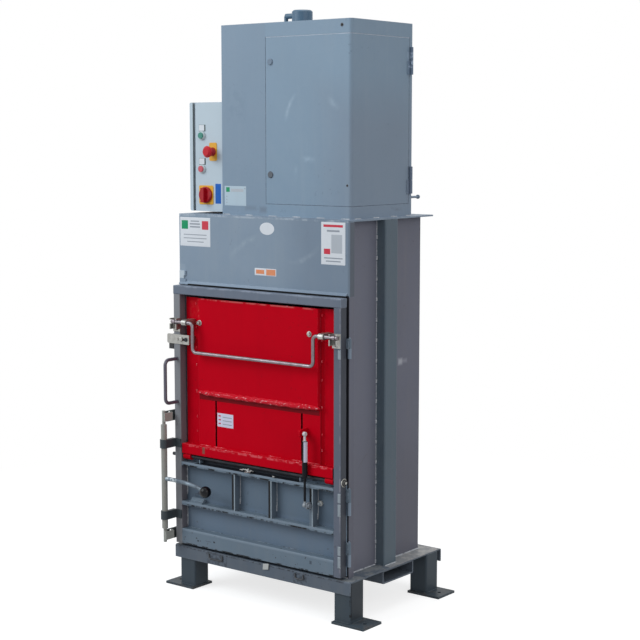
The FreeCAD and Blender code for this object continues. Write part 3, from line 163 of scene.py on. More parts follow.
def zone_group():
    """Share of a local mark: 1 inside a box, fading over a blur, broken up by noise where ragged."""
    tree, given, result = shader_group(
        "local_mark",
        {"Centre": ("Vector", (0, 0, 0)), "Half size": ("Vector", (1, 1, 1)), "Blur": ("Float", 0.001),
         "Scale": ("Float", 40.0), "Ragged": ("Float", 0.0), "Share": ("Float", 1.0)}, {"Mask": "Float"})
    place = wire(tree, "ShaderNodeTexCoord").outputs["Object"]
    away = wire(tree, "ShaderNodeVectorMath", {0: place, 1: given["Centre"]}, operation="SUBTRACT")
    away = wire(tree, "ShaderNodeVectorMath", {0: away.outputs[0]}, operation="ABSOLUTE")
    away = wire(tree, "ShaderNodeVectorMath", {0: away.outputs[0], 1: given["Half size"]},
                operation="SUBTRACT")
    sides = wire(tree, "ShaderNodeSeparateXYZ", {0: away.outputs[0]}).outputs
    outside = maths(tree, "MAXIMUM", maths(tree, "MAXIMUM", sides[0], sides[1]), sides[2])
    inside = ramp(tree, outside, given["Blur"], maths(tree, "MULTIPLY", given["Blur"], -1.0))
    broken = ramp(tree, noise(tree, place, given["Scale"], 4.0, 0.65), 0.56, 0.46)
    kept = maths(tree, "SUBTRACT", 1.0, maths(tree, "MULTIPLY", broken, given["Ragged"]))
    share = maths(tree, "MULTIPLY", maths(tree, "MULTIPLY", inside, kept), given["Share"])
    tree.links.new(share, result.inputs["Mask"])
    return tree


def smear_group():
    """Share of a wiped arc: a band round a bend centre, kept inside a soft ball, and streaky."""
    tree, given, result = shader_group(
        "wiped_arc",
        {"Middle": ("Vector", (0, 0, 0)), "Reach": ("Float", 0.05), "Bend": ("Vector", (0, 0, 0)),
         "Radius": ("Float", 0.1), "Width": ("Float", 0.01), "Share": ("Float", 0.3)}, {"Mask": "Float"})
    place = wire(tree, "ShaderNodeTexCoord").outputs["Object"]
    from_bend = wire(tree, "ShaderNodeVectorMath", {0: place, 1: given["Bend"]}, operation="DISTANCE")
    off_band = maths(tree, "ABSOLUTE", maths(tree, "SUBTRACT", from_bend.outputs["Value"], given["Radius"]))
    band = ramp(tree, off_band, given["Width"], 0.0)
    from_middle = wire(tree, "ShaderNodeVectorMath", {0: place, 1: given["Middle"]}, operation="DISTANCE")
    ball = ramp(tree, from_middle.outputs["Value"], given["Reach"], 0.0)
    streak = ramp(tree, noise(tree, place, 38.0, 4.0, 0.6), 0.3, 0.7)
    share = maths(tree, "MULTIPLY", maths(tree, "MULTIPLY", band, ball), streak)
    tree.links.new(maths(tree, "MULTIPLY", share, given["Share"]), result.inputs["Mask"])
    return tree


local_mark, wiped_arc, smear_share = zone_group(), smear_group(), 0.6


def marked(tree, colour, zones, smears):
    """Lay local marks over a colour. A zone is (low corner, high corner, colour, share, blur, scale),
    in millimetres and waves per metre, ragged where it has a scale; a smear is (middle, reach, bend,
    width, colour)."""
    for low, high, tone, share, blur, scale in zones:
        middle, half = (np.array(low) + high) / 2, (np.array(high) - low) / 2000
        mask = wire(tree, "ShaderNodeGroup", {
            "Centre": spot(*middle), "Half size": half, "Blur": blur / 1000, "Scale": max(scale, 1.0),
            "Ragged": float(scale > 0), "Share": share}, node_tree=local_mark)
        colour = blend_colour(tree, mask.outputs[0], colour, linear_colour(tone))
    for middle, reach, bend, width, tone in smears:
        mask = wire(tree, "ShaderNodeGroup", {
            "Middle": spot(*middle), "Reach": reach / 1000, "Bend": spot(*bend),
            "Radius": math.dist(middle, bend) / 1000, "Width": width / 1000, "Share": smear_share},
            node_tree=wiped_arc)
        colour = blend_colour(tree, mask.outputs[0], colour, linear_colour(tone))
    return colour


def finished(name, group, colours, values, relief, zones=(), smears=(), **own):
    """A material: one finish group and local marks feed a Principled shader, whose constant sockets
    are set by own. The group's colours are screen colours, and relief is its depth in metres."""
    material = bpy.data.materials.new(name)
    material.use_nodes = True
    tree = material.node_tree
    shader = tree.nodes["Principled BSDF"]
    tones = {label: linear_colour(screen) for label, screen in colours.items()}
    coat = wire(tree, "ShaderNodeGroup", tones | values, node_tree=group)
    tree.links.new(marked(tree, coat.outputs["Color"], zones, smears), shader.inputs["Base Color"])
    tree.links.new(coat.outputs["Roughness"], shader.inputs["Roughness"])
    raised = wire(tree, "ShaderNodeBump", {"Height": coat.outputs["Height"], "Distance": relief})
    tree.links.new(raised.outputs[0], shader.inputs["Normal"])
    for label, value in own.items():
        shader.inputs[label.replace("_", " ")].default_value = value
    return material


def painted(name, paint, rubbed, dust, chipped=(47, 43, 43), edge_wear=0.6, chips=0.3, dustiness=0.3,
            drift=0.25, specular=0.2, relief=0.00012, zones=(), smears=()):
    """Worn paint on metal."""
    return finished(name, worn_paint, {"Paint": paint, "Rubbed": rubbed, "Chipped": chipped, "Dust": dust},
                    {"Edge wear": edge_wear, "Chips": chips, "Dustiness": dustiness, "Drift": drift},
                    relief, zones, smears, Specular_IOR_Level=specular)


def dress(material, *names):
    """Give CAD nodes a material in place of the one they came with."""
    for name in names:
        for place in solid[name].material_slots:
            place.material = material


def skin(name, patches, body):
    """Join patches, each (grid of points, material), into one smooth mesh that rides on a body."""
    weld_gap, crease = 1e-6, math.radians(38)
    points, quads, shades, finishes, first = [], [], [], [], 0
    for grid, material in patches:
        rows, columns = grid.shape[:2]
        index = first + np.arange(rows * columns).reshape(rows, columns)
        faces = np.stack([index[:-1, :-1], index[:-1, 1:], index[1:, 1:], index[1:, :-1]], axis=-1)
        if material not in finishes:
            finishes.append(material)
        quads.append(faces.reshape(-1, 4))
        shades.append(np.full((rows - 1) * (columns - 1), finishes.index(material)))
        points.append(grid.reshape(-1, 3))
        first += rows * columns
    mesh = bpy.data.meshes.new(name)
    mesh.from_pydata(np.concatenate(points).tolist(), [], np.concatenate(quads).tolist())
    for material in finishes:
        mesh.materials.append(material)
    mesh.polygons.foreach_set("material_index", np.concatenate(shades))
    mesh.polygons.foreach_set("use_smooth", np.ones(len(mesh.polygons), bool))
    welded = bmesh.new()
    welded.from_mesh(mesh)
    bmesh.ops.remove_doubles(welded, verts=welded.verts, dist=weld_gap)
    welded.to_mesh(mesh)
    welded.free()
    mesh.set_sharp_from_angle(angle=crease)
    piece = bpy.data.objects.new(name, mesh)
    bpy.context.collection.objects.link(piece)
    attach(piece, body)
    return piece


def bead(start, end, radius, pitch=3.6):
    """A weld bead along A to B: P(u, t) = A + u (B - A) + r(u) (cos t N + sin t M), where
    r(u) = R (0.78 + 0.22 |sin(pi L u / pitch)| + 0.07 sin(9.1 L u / R)) (1 - (2u - 1)^10)^0.5."""
    a, b = spot(*start), spot(*end)
    length = np.linalg.norm(b - a) * 1000
    u = np.linspace(0, 1, int(max(10, 4 * length / pitch)))[:, None]
    t = np.linspace(0, 2 * np.pi, 9)[None, :]
    along = (b - a) / np.linalg.norm(b - a)
    side = np.cross(along, (0.3, 0.5, 0.81))
    side = side / np.linalg.norm(side)
    waves = np.abs(np.sin(np.pi * length * u / pitch))
    ripple = 0.78 + 0.22 * waves + 0.07 * np.sin(9.1 * length * u / radius)
    r = radius / 1000 * ripple * np.sqrt(np.maximum(0, 1 - (2 * u - 1) ** 10))
    ring = np.cos(t)[..., None] * side + np.sin(t)[..., None] * np.cross(along, side)
    return a + u[..., None] * (b - a) + r[..., None] * ring


# The ragged dark bands along the bed front are scars and grime; the top one, just under the door, is also a
# painted shadow cast by the door.
bed_dark = (36, 38, 45)
base_paint = painted("base_enamel", (87, 97, 109), (137, 148, 159), (120, 121, 122), edge_wear=0.7,
                     chips=0.6, dustiness=0.35, zones=[
    ((700, 190, 147.2), (780, 500, 149), (163, 164, 164), 0.6, 0.4, 0),
    ((640, 190, 147.2), (780, 500, 149), (172, 171, 169), 0.85, 0.4, 30),
    ((700, -34, 147.2), (780, 190, 149), (137, 140, 140), 0.6, 0.4, 30),
    ((0, -34, 141), (745, -32, 149), bed_dark, 0.9, 1.0, 70),
    ((0, -34, 96), (745, -32, 103), bed_dark, 0.9, 1.0, 60),
    ((150, -34, 106), (240, -32, 142), bed_dark, 0.8, 5.0, 75),
    ((535, -34, 106), (600, -32, 138), bed_dark, 0.8, 5.0, 75),
    ((770, -33, 97), (773, 500, 112), (48, 47, 47), 0.7, 2.0, 45)])
dress(base_paint, "bed_tray")
# The front right leg's right side face is painted darker, as painted shade.
leg_paint = painted("leg_enamel", (56, 67, 76), (116, 123, 127), (98, 98, 95), edge_wear=0.6,
                    chips=0.25, dustiness=0.15, drift=0.12, zones=[
    ((-60, -60, -1), (850, 510, 9), (73, 72, 72), 0.6, 1.0, 36),
    ((769, -45, 20), (772, 62, 143), (42, 48, 54), 0.8, 1.0, 0),
    ((764, -30, 30), (773, -24, 132), (19, 19, 21), 0.9, 1.0, 70),
    ((700, -30, 132), (771, -26, 139), (114, 126, 134), 0.6, 1.5, 60)])
dress(leg_paint, "leg_front_left", "leg_front_right", "leg_rear_left", "leg_rear_right")
weld_paint = painted("weld_enamel", (158, 164, 171), (225, 227, 229), (135, 135, 133),
                     edge_wear=0.9, chips=0.5, dustiness=0.3, specular=0.6)
bed_beads = [((711, 32, 149), (711, 120, 149), 2.8), ((711, 124, 149), (711, 188, 149), 2.4),
             ((711, 262, 149), (711, 352, 149), 3.4), ((711, 356, 149), (711, 444, 149), 3.0),
             ((748, 192, 149), (748, 258, 149), 2.4), ((714, 0.5, 149), (738, 0.5, 149), 2.4),
             ((29, 32, 149), (29, 188, 149), 2.6), ((29, 262, 149), (29, 440, 149), 2.6)]
foot_beads = [run for left in (19, 701) for front in (-28, 405)
              for run in (((left + 6, front - 0.5, 9), (left + 64, front - 0.5, 9), 2.2),
                          ((left + 70.5, front + 8, 9), (left + 70.5, front + 62, 9), 2.2))]
bed_welds = [(bead(*run), weld_paint) for run in bed_beads] + [(bead(*run), leg_paint) for run in foot_beads]
skin("bed_welds", bed_welds, "frame")

# --- Press body ----------------------------------------------------------------------------
# Two box uprights, folded side walls with outer stiffener channels, a back wall and a head
# panel, all of mild sheet, seam welded and sprayed grey-blue before the cabinet went on.
# On the head panel, the right part is painted darker as painted shade, the near-black line along its lower
# edge is a painted shadow, and its right side face is painted darker as painted shade.
head_paint = painted("head_enamel", (129, 145, 162), (183, 193, 204), (155, 163, 168), edge_wear=0.5,
                     chips=0.2, dustiness=0.25, zones=[
    ((560, -12, 1060), (760, 30, 1320), (102, 116, 133), 0.85, 130, 0),
    ((50, -12, 1066), (741, 2, 1070.5), (8, 10, 14), 1.0, 0.4, 0),
    ((739.5, -12, 1060), (741, 28, 1304), (91, 98, 108), 0.95, 0.3, 0),
    ((-1, -11, 1088), (30, -0.8, 1136), (191, 202, 210), 0.8, 1.0, 0),
    ((-1, -0.5, 1303.5), (742, 0.8, 1311), (178, 188, 198), 0.6, 0.8, 24)],
    smears=[((300, 0, 1220), 90, (420, 0, 1000), 14, (167, 181, 190)),
            ((560, 0, 1180), 80, (500, 0, 1320), 12, (163, 175, 186))])
dress(head_paint, "head_panel", "frame_hinges", "top_plate")
# On the body, the lower part is painted darker towards the floor as painted shade, and the near-black strip
# beside the right door post is painted shade in the gap there.
body_paint = painted("body_enamel", (105, 108, 122), (164, 168, 179), (131, 128, 130), edge_wear=0.5,
                     chips=0.3, dustiness=0.35, zones=[
    ((-10, 0, 140), (760, 500, 430), (92, 92, 100), 0.75, 240, 0),
    ((709, 27, 148), (711, 189, 1305), (121, 124, 137), 0.6, 8.0, 0),
    ((704, -1, 148), (741, 1, 1067), (24, 26, 31), 0.95, 0.4, 0),
    ((709, 24, 148), (711, 40, 1305), (131, 142, 152), 0.5, 3.0, 0),
    ((709, 320, 815), (711, 332, 825), (214, 217, 224), 0.8, 10.0, 0),
    ((709, 326, 818), (711, 362, 823), (176, 179, 188), 0.6, 8.0, 0),
    ((709, 50, 1118), (711, 57, 1127), (50, 51, 59), 0.8, 1.2, 0)],
    smears=[((710, 120, 520), 60, (710, 300, 300), 4, (94, 89, 93))])
dress(body_paint, "upright_left", "upright_right", "side_wall_left", "side_wall_right", "back_wall")
# The stiffener channels take a darker copy of the body enamel, as painted shade.
stiffener_paint = painted("stiffener_enamel", (88, 102, 113), (152, 165, 175), (116, 121, 123),
                          edge_wear=0.6, chips=0.3, dustiness=0.3)
dress(stiffener_paint, "side_stiffeners")
stitches, first_stitch, stitch_pitch = [], 152, 68
front_seam, rear_seam = 189.2, 260.6
for wall in (709.6, 30.4):
    for low in first_stitch + stitch_pitch * np.arange(17):
        for y, start, end, radius, paint in ((front_seam, 0, 15, 3.5, weld_paint),
                                             (front_seam + 0.1, 15, 66, 1.8, weld_paint),
                                             (rear_seam, 20, 52, 2.0, body_paint)):
            stitches.append((bead((wall, y, low + start), (wall, y, low + end), radius), paint))
skin("stiffener_welds", stitches, "frame")

# --- Cabinet -------------------------------------------------------------------------------
# A folded hood of thin sheet with a wrap-round door on two welded hinges, in a lighter
# blue-grey than the body, with wiped arcs and a few scuffs. Its front lies at y 52, its side at x 708.
hinge_tone = (89, 106, 129)
# On the cabinet, the pale ragged patch on the upper hinge is a painted highlight.
cabinet_paint = painted("cabinet_enamel", (127, 148, 167), (196, 208, 220), (160, 170, 179),
                        edge_wear=0.4, chips=0.2, dustiness=0.2, drift=0.16, zones=[
    ((708.6, 360, 1340), (725, 400, 1900), hinge_tone, 0.75, 0.4, 0),
    ((708.6, 360, 1800), (725, 400, 1850), (172, 191, 211), 0.8, 3.0, 60),
    ((600, 441.5, 1340), (720, 500, 1400), (147, 143, 129), 0.9, 0.3, 0),
    ((152, 51, 1310), (352, 53, 1945), (122, 136, 153), 0.45, 2.0, 0),
    ((707, 52, 1290), (709, 441, 1600), (122, 123, 134), 0.55, 180.0, 0),
    ((330, 51, 1326), (352, 53, 1336), (93, 97, 104), 0.6, 9.0, 0),
    ((264, 51, 1332), (306, 53, 1338), (100, 107, 116), 0.5, 9.0, 0),
    ((200, 51, 1640), (250, 53, 1720), (112, 132, 150), 0.5, 26.0, 40)],
    smears=[((452, 52, 1670), 56, (620, 52, 1590), 10, (186, 203, 218)),
            ((634, 52, 1680), 34, (760, 52, 1790), 17, (172, 190, 206)),
            ((532, 52, 1500), 34, (560, 52, 1760), 15, (172, 191, 208)),
            ((480, 52, 1455), 34, (700, 52, 1440), 12, (152, 171, 188)),
            ((708, 300, 1334), 42, (708, 320, 1500), 7, (86, 91, 99))])
dress(cabinet_paint, "cabinet_hood", "cabinet_door")


def sheet(origin, across, up, lift=0.0):
    """A thin sheet lying on a face: P(u, v) = O + u A + v B + (l + 0.04 sin 7u sin 5v)(1 - m^30) N, with
    m = max(|2u - 1|, |2v - 1|) and N square to A and B, so that its rim meets the face."""
    step = np.array([0, 0.012, 0.04, *np.linspace(0.1, 0.9, 9), 0.96, 0.988, 1.0])
    u, v = np.meshgrid(step, step)
    normal = np.cross(across, up) / np.linalg.norm(np.cross(across, up))
    rim = 1 - np.maximum(abs(2 * u - 1), abs(2 * v - 1)) ** 30
    height = (lift + 0.04 * np.sin(7 * u) * np.sin(5 * v)) * rim
    shape = u[..., None] * across + v[..., None] * up + height[..., None] * normal
    return spot(*origin) + shape / 1000


def gap_strip(height):
    """The folded edge behind the cabinet door's gap: P(s, v), s running along the front, round the
    hood's bend and back along its side at one depth, and v rising across the gap."""
    radius, bend_x, bend_y, depth = 12.0, 696.0, 64.0, 0.9
    front_start, side_end, half_gap = 353, 371, 0.75
    turn, inner = np.radians(np.linspace(-90, 0, 13)), radius - depth
    front = np.stack([np.linspace(front_start, bend_x - 2, 40), np.full(40, bend_y - inner)], axis=-1)
    bend = np.stack([bend_x + inner * np.cos(turn), bend_y + inner * np.sin(turn)], axis=-1)
    side = np.stack([np.full(30, bend_x + inner), np.linspace(bend_y + 2, side_end, 30)], axis=-1)
    path = np.concatenate([front, bend, side])
    rise = np.linspace(-half_gap, half_gap, 3)[:, None]
    flat = np.broadcast_to(path, (3, *path.shape))
    return corner + np.concatenate([flat, (height + rise + 0 * path[:, 0])[..., None]], axis=-1) / 1000


gap_tone = painted("gap_enamel", (106, 122, 140), (172, 182, 194), (126, 131, 137), chips=0.2)
# The upper gap strip is painted pale as a painted highlight along the door's top edge.
gap_highlight = painted("bright_gap_enamel", (200, 210, 221), (225, 231, 238), (158, 164, 168), chips=0.2)
skin("cabinet_gap_edges", [(gap_strip(1351), gap_tone), (gap_strip(1898), gap_highlight),
                           (sheet((352.3, 53, 1351), (1.4, 0, 0), (0, 0, 547)), gap_tone)],
     "frame")
foot_z, seam_length = 1310.5, 34
seams = [(bead((x, 51.5, foot_z), (x + seam_length, 51.5, foot_z), 2.2), weld_paint)
         for x in (160, 262, 364, 466, 568, 668)]
seams += [(bead((708.5, y, foot_z), (708.5, y + seam_length, foot_z), 2.2), weld_paint)
          for y in (70, 170, 270, 356)]
skin("cabinet_welds", seams, "frame")


def dome(x, y, z, radius, height, hexagon=0.0, oval=1.0, sideways=False):
    """A low round or six-sided head: P(t, k) = C + q_k r(t) (cos t, w sin t) in the face, plus h_k out of it,
    with r(t) = R (1 - s + s cos 30 / cos((t mod 60) - 30)), s being 1 for a hexagon and 0 for a circle.
    It faces the front, or the right where it is turned sideways."""
    t = np.linspace(0, 2 * np.pi, 31)[:, None]
    share = np.array([0.0, 0.55, 0.84, 0.96, 1.0, 1.0])[None, :]
    lift = height / 1000 * np.array([1.0, 1.0, 0.97, 0.86, 0.66, 0.0])[None, :] + 0 * t
    corner_r = np.cos(np.pi / 6) / np.cos(np.mod(t, np.pi / 3) - np.pi / 6)
    r = radius / 1000 * share * (1 - hexagon + hexagon * corner_r)
    across, up = r * np.cos(t), oval * r * np.sin(t)
    return spot(x, y, z) + np.stack([lift, across, up] if sideways else [across, -lift, up], axis=-1)


hole_dark = painted("hole_dark", (22, 20, 20), (64, 53, 47), (43, 38, 36), chips=0.0, specular=0.1)
hole_rim = painted("hole_rim", (89, 93, 99), (147, 137, 126), (101, 89, 78), chips=0.6)
skin("rust_marks", [(dome(670, 52, 1925, 6.0, 0.5), hole_rim), (dome(670, 51.6, 1925, 3.8, 0.4), hole_dark)],
     "frame")
skin("door_marks", [(dome(692, 52, 1418, 4.2, 0.5), hole_rim), (dome(692, 51.6, 1418, 2.6, 0.4), hole_dark)],
     "cabinet_door")


# --- Labels on the head, the cabinet, the gate and the control box -----------------------------
# Thin printed vinyl, left without any words: plain fields and bars of colour, a little raised,
# wavy and dulled by dust, each stuck where the machine carries one.
def printed(name, red, green, blue):
    """Printed vinyl in one ink, faintly soiled and scratched."""
    return painted(name, (red, green, blue), (237, 237, 237), (158, 156, 152), edge_wear=0.1,
                   chips=0.06, dustiness=0.16, drift=0.06, relief=0.00003)


def sticker(name, body, face, x0, x1, z0, z1, ground, fields=()):
    """A label with its ground colour and fields, each (x0, x1, z0, z1, ink), 0.1 mm above it."""
    sheets = [(sheet((x0, face, z0), (x1 - x0, 0, 0), (0, 0, z1 - z0), 0.35), ground)]
    sheets += [(sheet((a, face - 0.3, c), (b - a, 0, 0), (0, 0, d - c), 0.15), ink)
               for a, b, c, d, ink in fields]
    skin(name, sheets, body)


white_ink, grey_ink = printed("white_vinyl", 214, 218, 224), printed("grey_ink", 146, 152, 162)
green_ink, red_ink = printed("green_ink", 10, 140, 92), printed("red_ink", 200, 50, 70)
orange_ink, blue_ink = printed("orange_ink", 222, 140, 98), printed("blue_ink", 6, 88, 176)
lilac_ink, frosted_ink = printed("lilac_ink", 206, 206, 226), printed("frosted_ink", 176, 194, 206)
pale_grey_ink = printed("pale_grey_ink", 176, 182, 190)
sticker("supplier_label", "frame", 0, 9, 148, 1200, 1299, white_ink, [
    (16, 46, 1258, 1288, green_ink), (110, 140, 1258, 1288, red_ink), (54, 102, 1264, 1269, grey_ink),
    (54, 102, 1274, 1279, grey_ink), (58, 98, 1284, 1288, grey_ink), (24, 132, 1238, 1241, grey_ink),
    (24, 132, 1226, 1229, grey_ink), (40, 118, 1214, 1217, grey_ink)])
sticker("notice_label", "frame", 0, 627, 724, 1167, 1303, white_ink, [
    (636, 715, 1287, 1295, red_ink), (650, 702, 1272, 1278, grey_ink), (668, 712, 1204, 1264, pale_grey_ink),
    (638, 664, 1200, 1218, red_ink), (638, 714, 1186, 1190, grey_ink), (646, 706, 1176, 1180, grey_ink)])
sticker("rating_label", "frame", 0, 346, 439, 1116, 1140, white_ink, [
    (352, 388, 1121, 1135, orange_ink), (396, 436, 1118, 1138, orange_ink)])
skin("oval_label", [(dome(400, 0, 1272, 31, 0.4, oval=0.66), white_ink)], "frame")
sticker("cabinet_label", "frame", 52, 169, 265, 1341, 1407, frosted_ink, [
    (176, 192, 1387, 1403, green_ink), (198, 254, 1388, 1398, pale_grey_ink),
    (177, 181, 1370, 1373, grey_ink), (177, 181, 1360, 1363, grey_ink), (177, 181, 1350, 1353, grey_ink),
    (258, 262, 1398, 1402, grey_ink)])
sticker("gate_label", "gate", -20, 192, 264, 589, 636, lilac_ink, [
    (197, 208, 624, 629, red_ink), (197, 208, 611, 616, red_ink), (197, 208, 598, 603, red_ink),
    (216, 258, 622, 625, grey_ink), (216, 258, 610, 613, grey_ink), (216, 258, 598, 601, grey_ink)])

# --- Main door -----------------------------------------------------------------------------
# A frame of square tube and flat rails with a skin behind, welded and sprayed with the body.
# Dark bands along the rails' lower edges are dirt and painted shade, and their upper edges are painted paler.
# The hinge leaves and the end of the strut's stud are pale worn metal with a painted highlight.
rib_lefts, rib_weld = (273, 435, 610), 13.5
# Near-black ragged bands along the rails' lower edges are dirt and painted shade under the rails.
rail_dirt_and_shade = [((40, -41, z - 2), (708, -39, z + 5), (10, 10, 14), 1.0, 1.0, 32) for z in (297, 437, 158)]
rail_tops = [((40, -41, z - 7), (708, -39, z + 1), (132, 146, 160), 0.6, 1.5, 0) for z in (310, 450, 212)]
# In the door enamel, the near-black strip on the sill rail's top is painted shade in the gap between rail and
# skin.
door_paint = painted("door_enamel", (101, 117, 131), (167, 178, 190), (128, 133, 140), edge_wear=0.7,
                     chips=0.9, dustiness=0.35, zones=rail_tops + rail_dirt_and_shade + [
    ((100, -38.5, 449), (565, -9, 451), (16, 14, 21), 0.95, 0.5, 0),
    ((112, -41, 176), (118, -39, 181), (27, 29, 36), 1.0, 1.0, 0),
    ((124, -41, 178), (127, -39, 181), (27, 29, 36), 1.0, 1.0, 0),
    ((150, -41, 183), (176, -39, 185), (66, 74, 87), 0.8, 1.0, 0),
    ((186, -41, 183), (194, -39, 188), (27, 29, 36), 1.0, 1.0, 0),
    ((610, -41, 184), (618, -39, 194), (44, 51, 62), 0.9, 2.0, 0)])
dress(door_paint, "door_bottom_rail", "door_sill_rail", "door_mid_rail", "door_hinges")
# Each rib's front is painted near-black down its left part as painted shade, with a pale painted highlight
# strip along its right edge.
rib_shade_and_highlight = [((x - 1, -41, 314 + low), (x + 9, -38.5, 438), (10, 12, 16), 1.0, 0.8, 0)
             for x, low in zip(rib_lefts, (0, -6, 60))]
rib_shade_and_highlight += [((x + 9.5, -41, 310), (x + 14, -38.5, 437), (158, 172, 182), 0.8, 1.0, 0) for x in rib_lefts]
rib_paint = painted("rib_enamel", (94, 107, 120), (166, 177, 186), (120, 124, 131), edge_wear=0.8,
                    chips=0.7, dustiness=0.3, zones=rib_shade_and_highlight + [
    ((603, -62, 366), (626, -43, 396), (118, 124, 131), 0.95, 0.6, 0)])
dress(rib_paint, "door_ribs")
top_rail_paint = painted("top_rail_enamel", (100, 110, 125), (172, 177, 191), (135, 136, 144),
                         edge_wear=0.8, chips=0.4, dustiness=0.3, zones=[
    ((10, -41, 1060), (738, -8, 1066), (149, 158, 173), 0.5, 2.0, 20)])
dress(top_rail_paint, "door_top_rail")
# The left post's inner side face is painted darker, as painted shade.
left_post_paint = painted("left_post_enamel", (126, 128, 133), (172, 171, 173), (135, 132, 130),
                          edge_wear=0.7, chips=0.6, dustiness=0.3, zones=[
    ((39, -41, 158), (41, -9, 1035), (81, 73, 83), 0.5, 0.5, 0)])
dress(left_post_paint, "door_post_left")
# The right post's outer side face is painted near-black, as painted shade in the gap by the wall.
right_post_paint = painted("right_post_enamel", (94, 101, 115), (154, 159, 170), (121, 121, 130),
                           edge_wear=0.7, chips=0.5, dustiness=0.3, zones=[
    ((737.5, -39, 158), (739, -9, 1035), (58, 62, 70), 0.9, 0.5, 0),
    ((732, -41, 158), (736, -38, 1035), (158, 154, 160), 0.5, 1.5, 12)])
dress(right_post_paint, "door_post_right")
dress(painted("handle_steel", (74, 72, 87), (126, 122, 139), (95, 93, 101), edge_wear=0.5, chips=0.6,
              dustiness=0.3, specular=0.7), "grab_handle")
dress(painted("bracket_enamel", (59, 67, 72), (101, 108, 112), (89, 91, 91), chips=0.5), "lock_brackets")
# The skin between the mid rail and the sill is painted darker, darkest at the right, as painted shade behind
# the rails; the near-black band just above the sill is painted shade in the slot there, and the ragged dark
# band over it is dirt and painted shade.
skin_paint = painted("skin_enamel", (100, 117, 135), (150, 165, 177), (121, 128, 135), edge_wear=0.4,
                     chips=0.3, dustiness=0.4, zones=[
    ((40, -11, 326), (708, -9, 437), (84, 100, 114), 0.7, 8.0, 0),
    ((600, -11, 326), (708, -9, 437), (71, 86, 101), 0.6, 30.0, 0),
    ((78, -11, 328), (158, -9, 342), (49, 41, 52), 0.9, 4.0, 60),
    ((98, -11, 449), (566, -9, 461), (16, 14, 21), 1.0, 1.5, 0),
    ((98, -11, 455), (620, -9, 470), (34, 30, 39), 0.9, 1.5, 45)])
dress(skin_paint, "door_skin")
door_beads = []
for x in (left + rib_weld for left in rib_lefts):
    door_beads += [(bead((x, -11, 330), (x, -11, 434), 1.5), weld_paint),
                   (bead((x, -13, 330), (x, -13, 350), 2.6), weld_paint),
                   (bead((x, -36, 436), (x, -16, 436), 1.6), door_paint)]
for low, high in ((328, 435), (214, 295)):
    door_beads.append((bead((41, -11, low), (41, -11, high), 1.7), weld_paint))
    door_beads += [(bead((41.5, -12, z), (41.5, -12, z + 9), 2.6), weld_paint)
                   for z in range(low + 8, high - 10, 26)]
    door_beads.append((bead((707, -11, low), (707, -11, high), 1.5), door_paint))
for x in (52, 140, 250, 360, 470, 580):
    door_beads += [(bead((x, -11.5, z), (x + 64, -11.5, z), 1.5), door_paint) for z in (212.6, 296.5)]
skin("door_welds", door_beads, "main_door")
caps = [(sheet((738, -39.5, 1035.5), (0, 29, 0), (0, 0, 29), 0.9), top_rail_paint),
        (sheet((10, -10.5, 1035.5), (0, -29, 0), (0, 0, 29), 0.9), top_rail_paint)]
skin("rail_end_caps", caps, "main_door")


def flake(x, y, z, size, twist):
    """A crumpled scrap: P(u, v) = C + (s u, 0.5 s v, 0.3 s + 0.16 s (sin(5u + w) sin(4v) + 0.5 u v)), for
    u, v in -1 to 1, turned about Z by w."""
    u, v = np.meshgrid(np.linspace(-1, 1, 14), np.linspace(-1, 1, 10), indexing="ij")
    crumple = np.sin(5 * u + twist) * np.sin(4 * v) + 0.5 * u * v
    flat = np.stack([size * u, 0.5 * size * v, 0.16 * size * crumple + 0.3 * size], axis=-1)
    turn = np.array([[np.cos(twist), np.sin(twist), 0], [-np.sin(twist), np.cos(twist), 0], [0, 0, 1]])
    return spot(x, y, z) + flat @ turn / 1000


scrap = painted("scrap_film", (185, 187, 185), (231, 231, 231), (126, 124, 118), chips=0.0,
                dustiness=0.5)
# The hinge leaves and the stud's end are painted pale: worn metal, with a painted highlight.
leaf_paint = painted("hinge_leaf", (148, 158, 166), (204, 210, 214), (60, 64, 70), edge_wear=1.0,
                     chips=0.6, dustiness=0.3)
leaf_spans = (190, 228), (232, 262), (360, 401), (405, 436), (871, 901), (905, 935)
skin("hinge_leaves", [(sheet((727, -40.2, low), (10.4, 0, 0), (0, 0, high - low), 2.4), leaf_paint)
                      for low, high in leaf_spans], "main_door")
skin("stud_end", [(dome(634, -9, 385, 10, 9.0, hexagon=1.0), scrap),
                  (dome(634, -17.5, 385, 5, 7.0), leaf_paint)], "main_door")
skin("caught_scraps", [(flake(330, -41, 456, 15, 0.4), scrap), (flake(352, -41, 452, 17, 1.7), scrap),
                       (flake(459, -42, 452, 8, 2.3), scrap)], "main_door")
skin("bed_tag", [(sheet((403, -33.4, 126), (27, -3, 5), (2, 0, 21), 0.8), scrap)], "frame")

# --- Gate ----------------------------------------------------------------------------------
# The folded loading flap in bright red enamel, rubbed pink along its folds and its ridge, with
# weld beads down both edges and bare dots where the paint has gone.
# The first two gate marks are painted shade: a dark band beside the step at the right, and a darker strip out
# to the right edge, shaded by the post.
gate_marks = [
    ((641, -21, 515), (664, -19, 1026), (74, 0, 8), 0.9, 4.0, 0),
    ((658, -21, 515), (706, -19, 1026), (122, 0, 16), 0.95, 5.0, 0),
    ((68, -29, 966), (112, -19, 1022), (225, 126, 110), 0.8, 10.0, 85),
    ((139, -41, 490), (150, -39, 513), (110, 89, 78), 0.9, 1.5, 0),
    ((44, -41, 508), (704, -39, 516), (225, 101, 110), 0.8, 1.5, 42),
    ((44, -41, 458), (704, -39, 463), (116, 11, 26), 0.8, 1.5, 30),
    ((108, -29, 1021), (640, -27, 1026), (217, 116, 114), 0.8, 2.0, 30)]
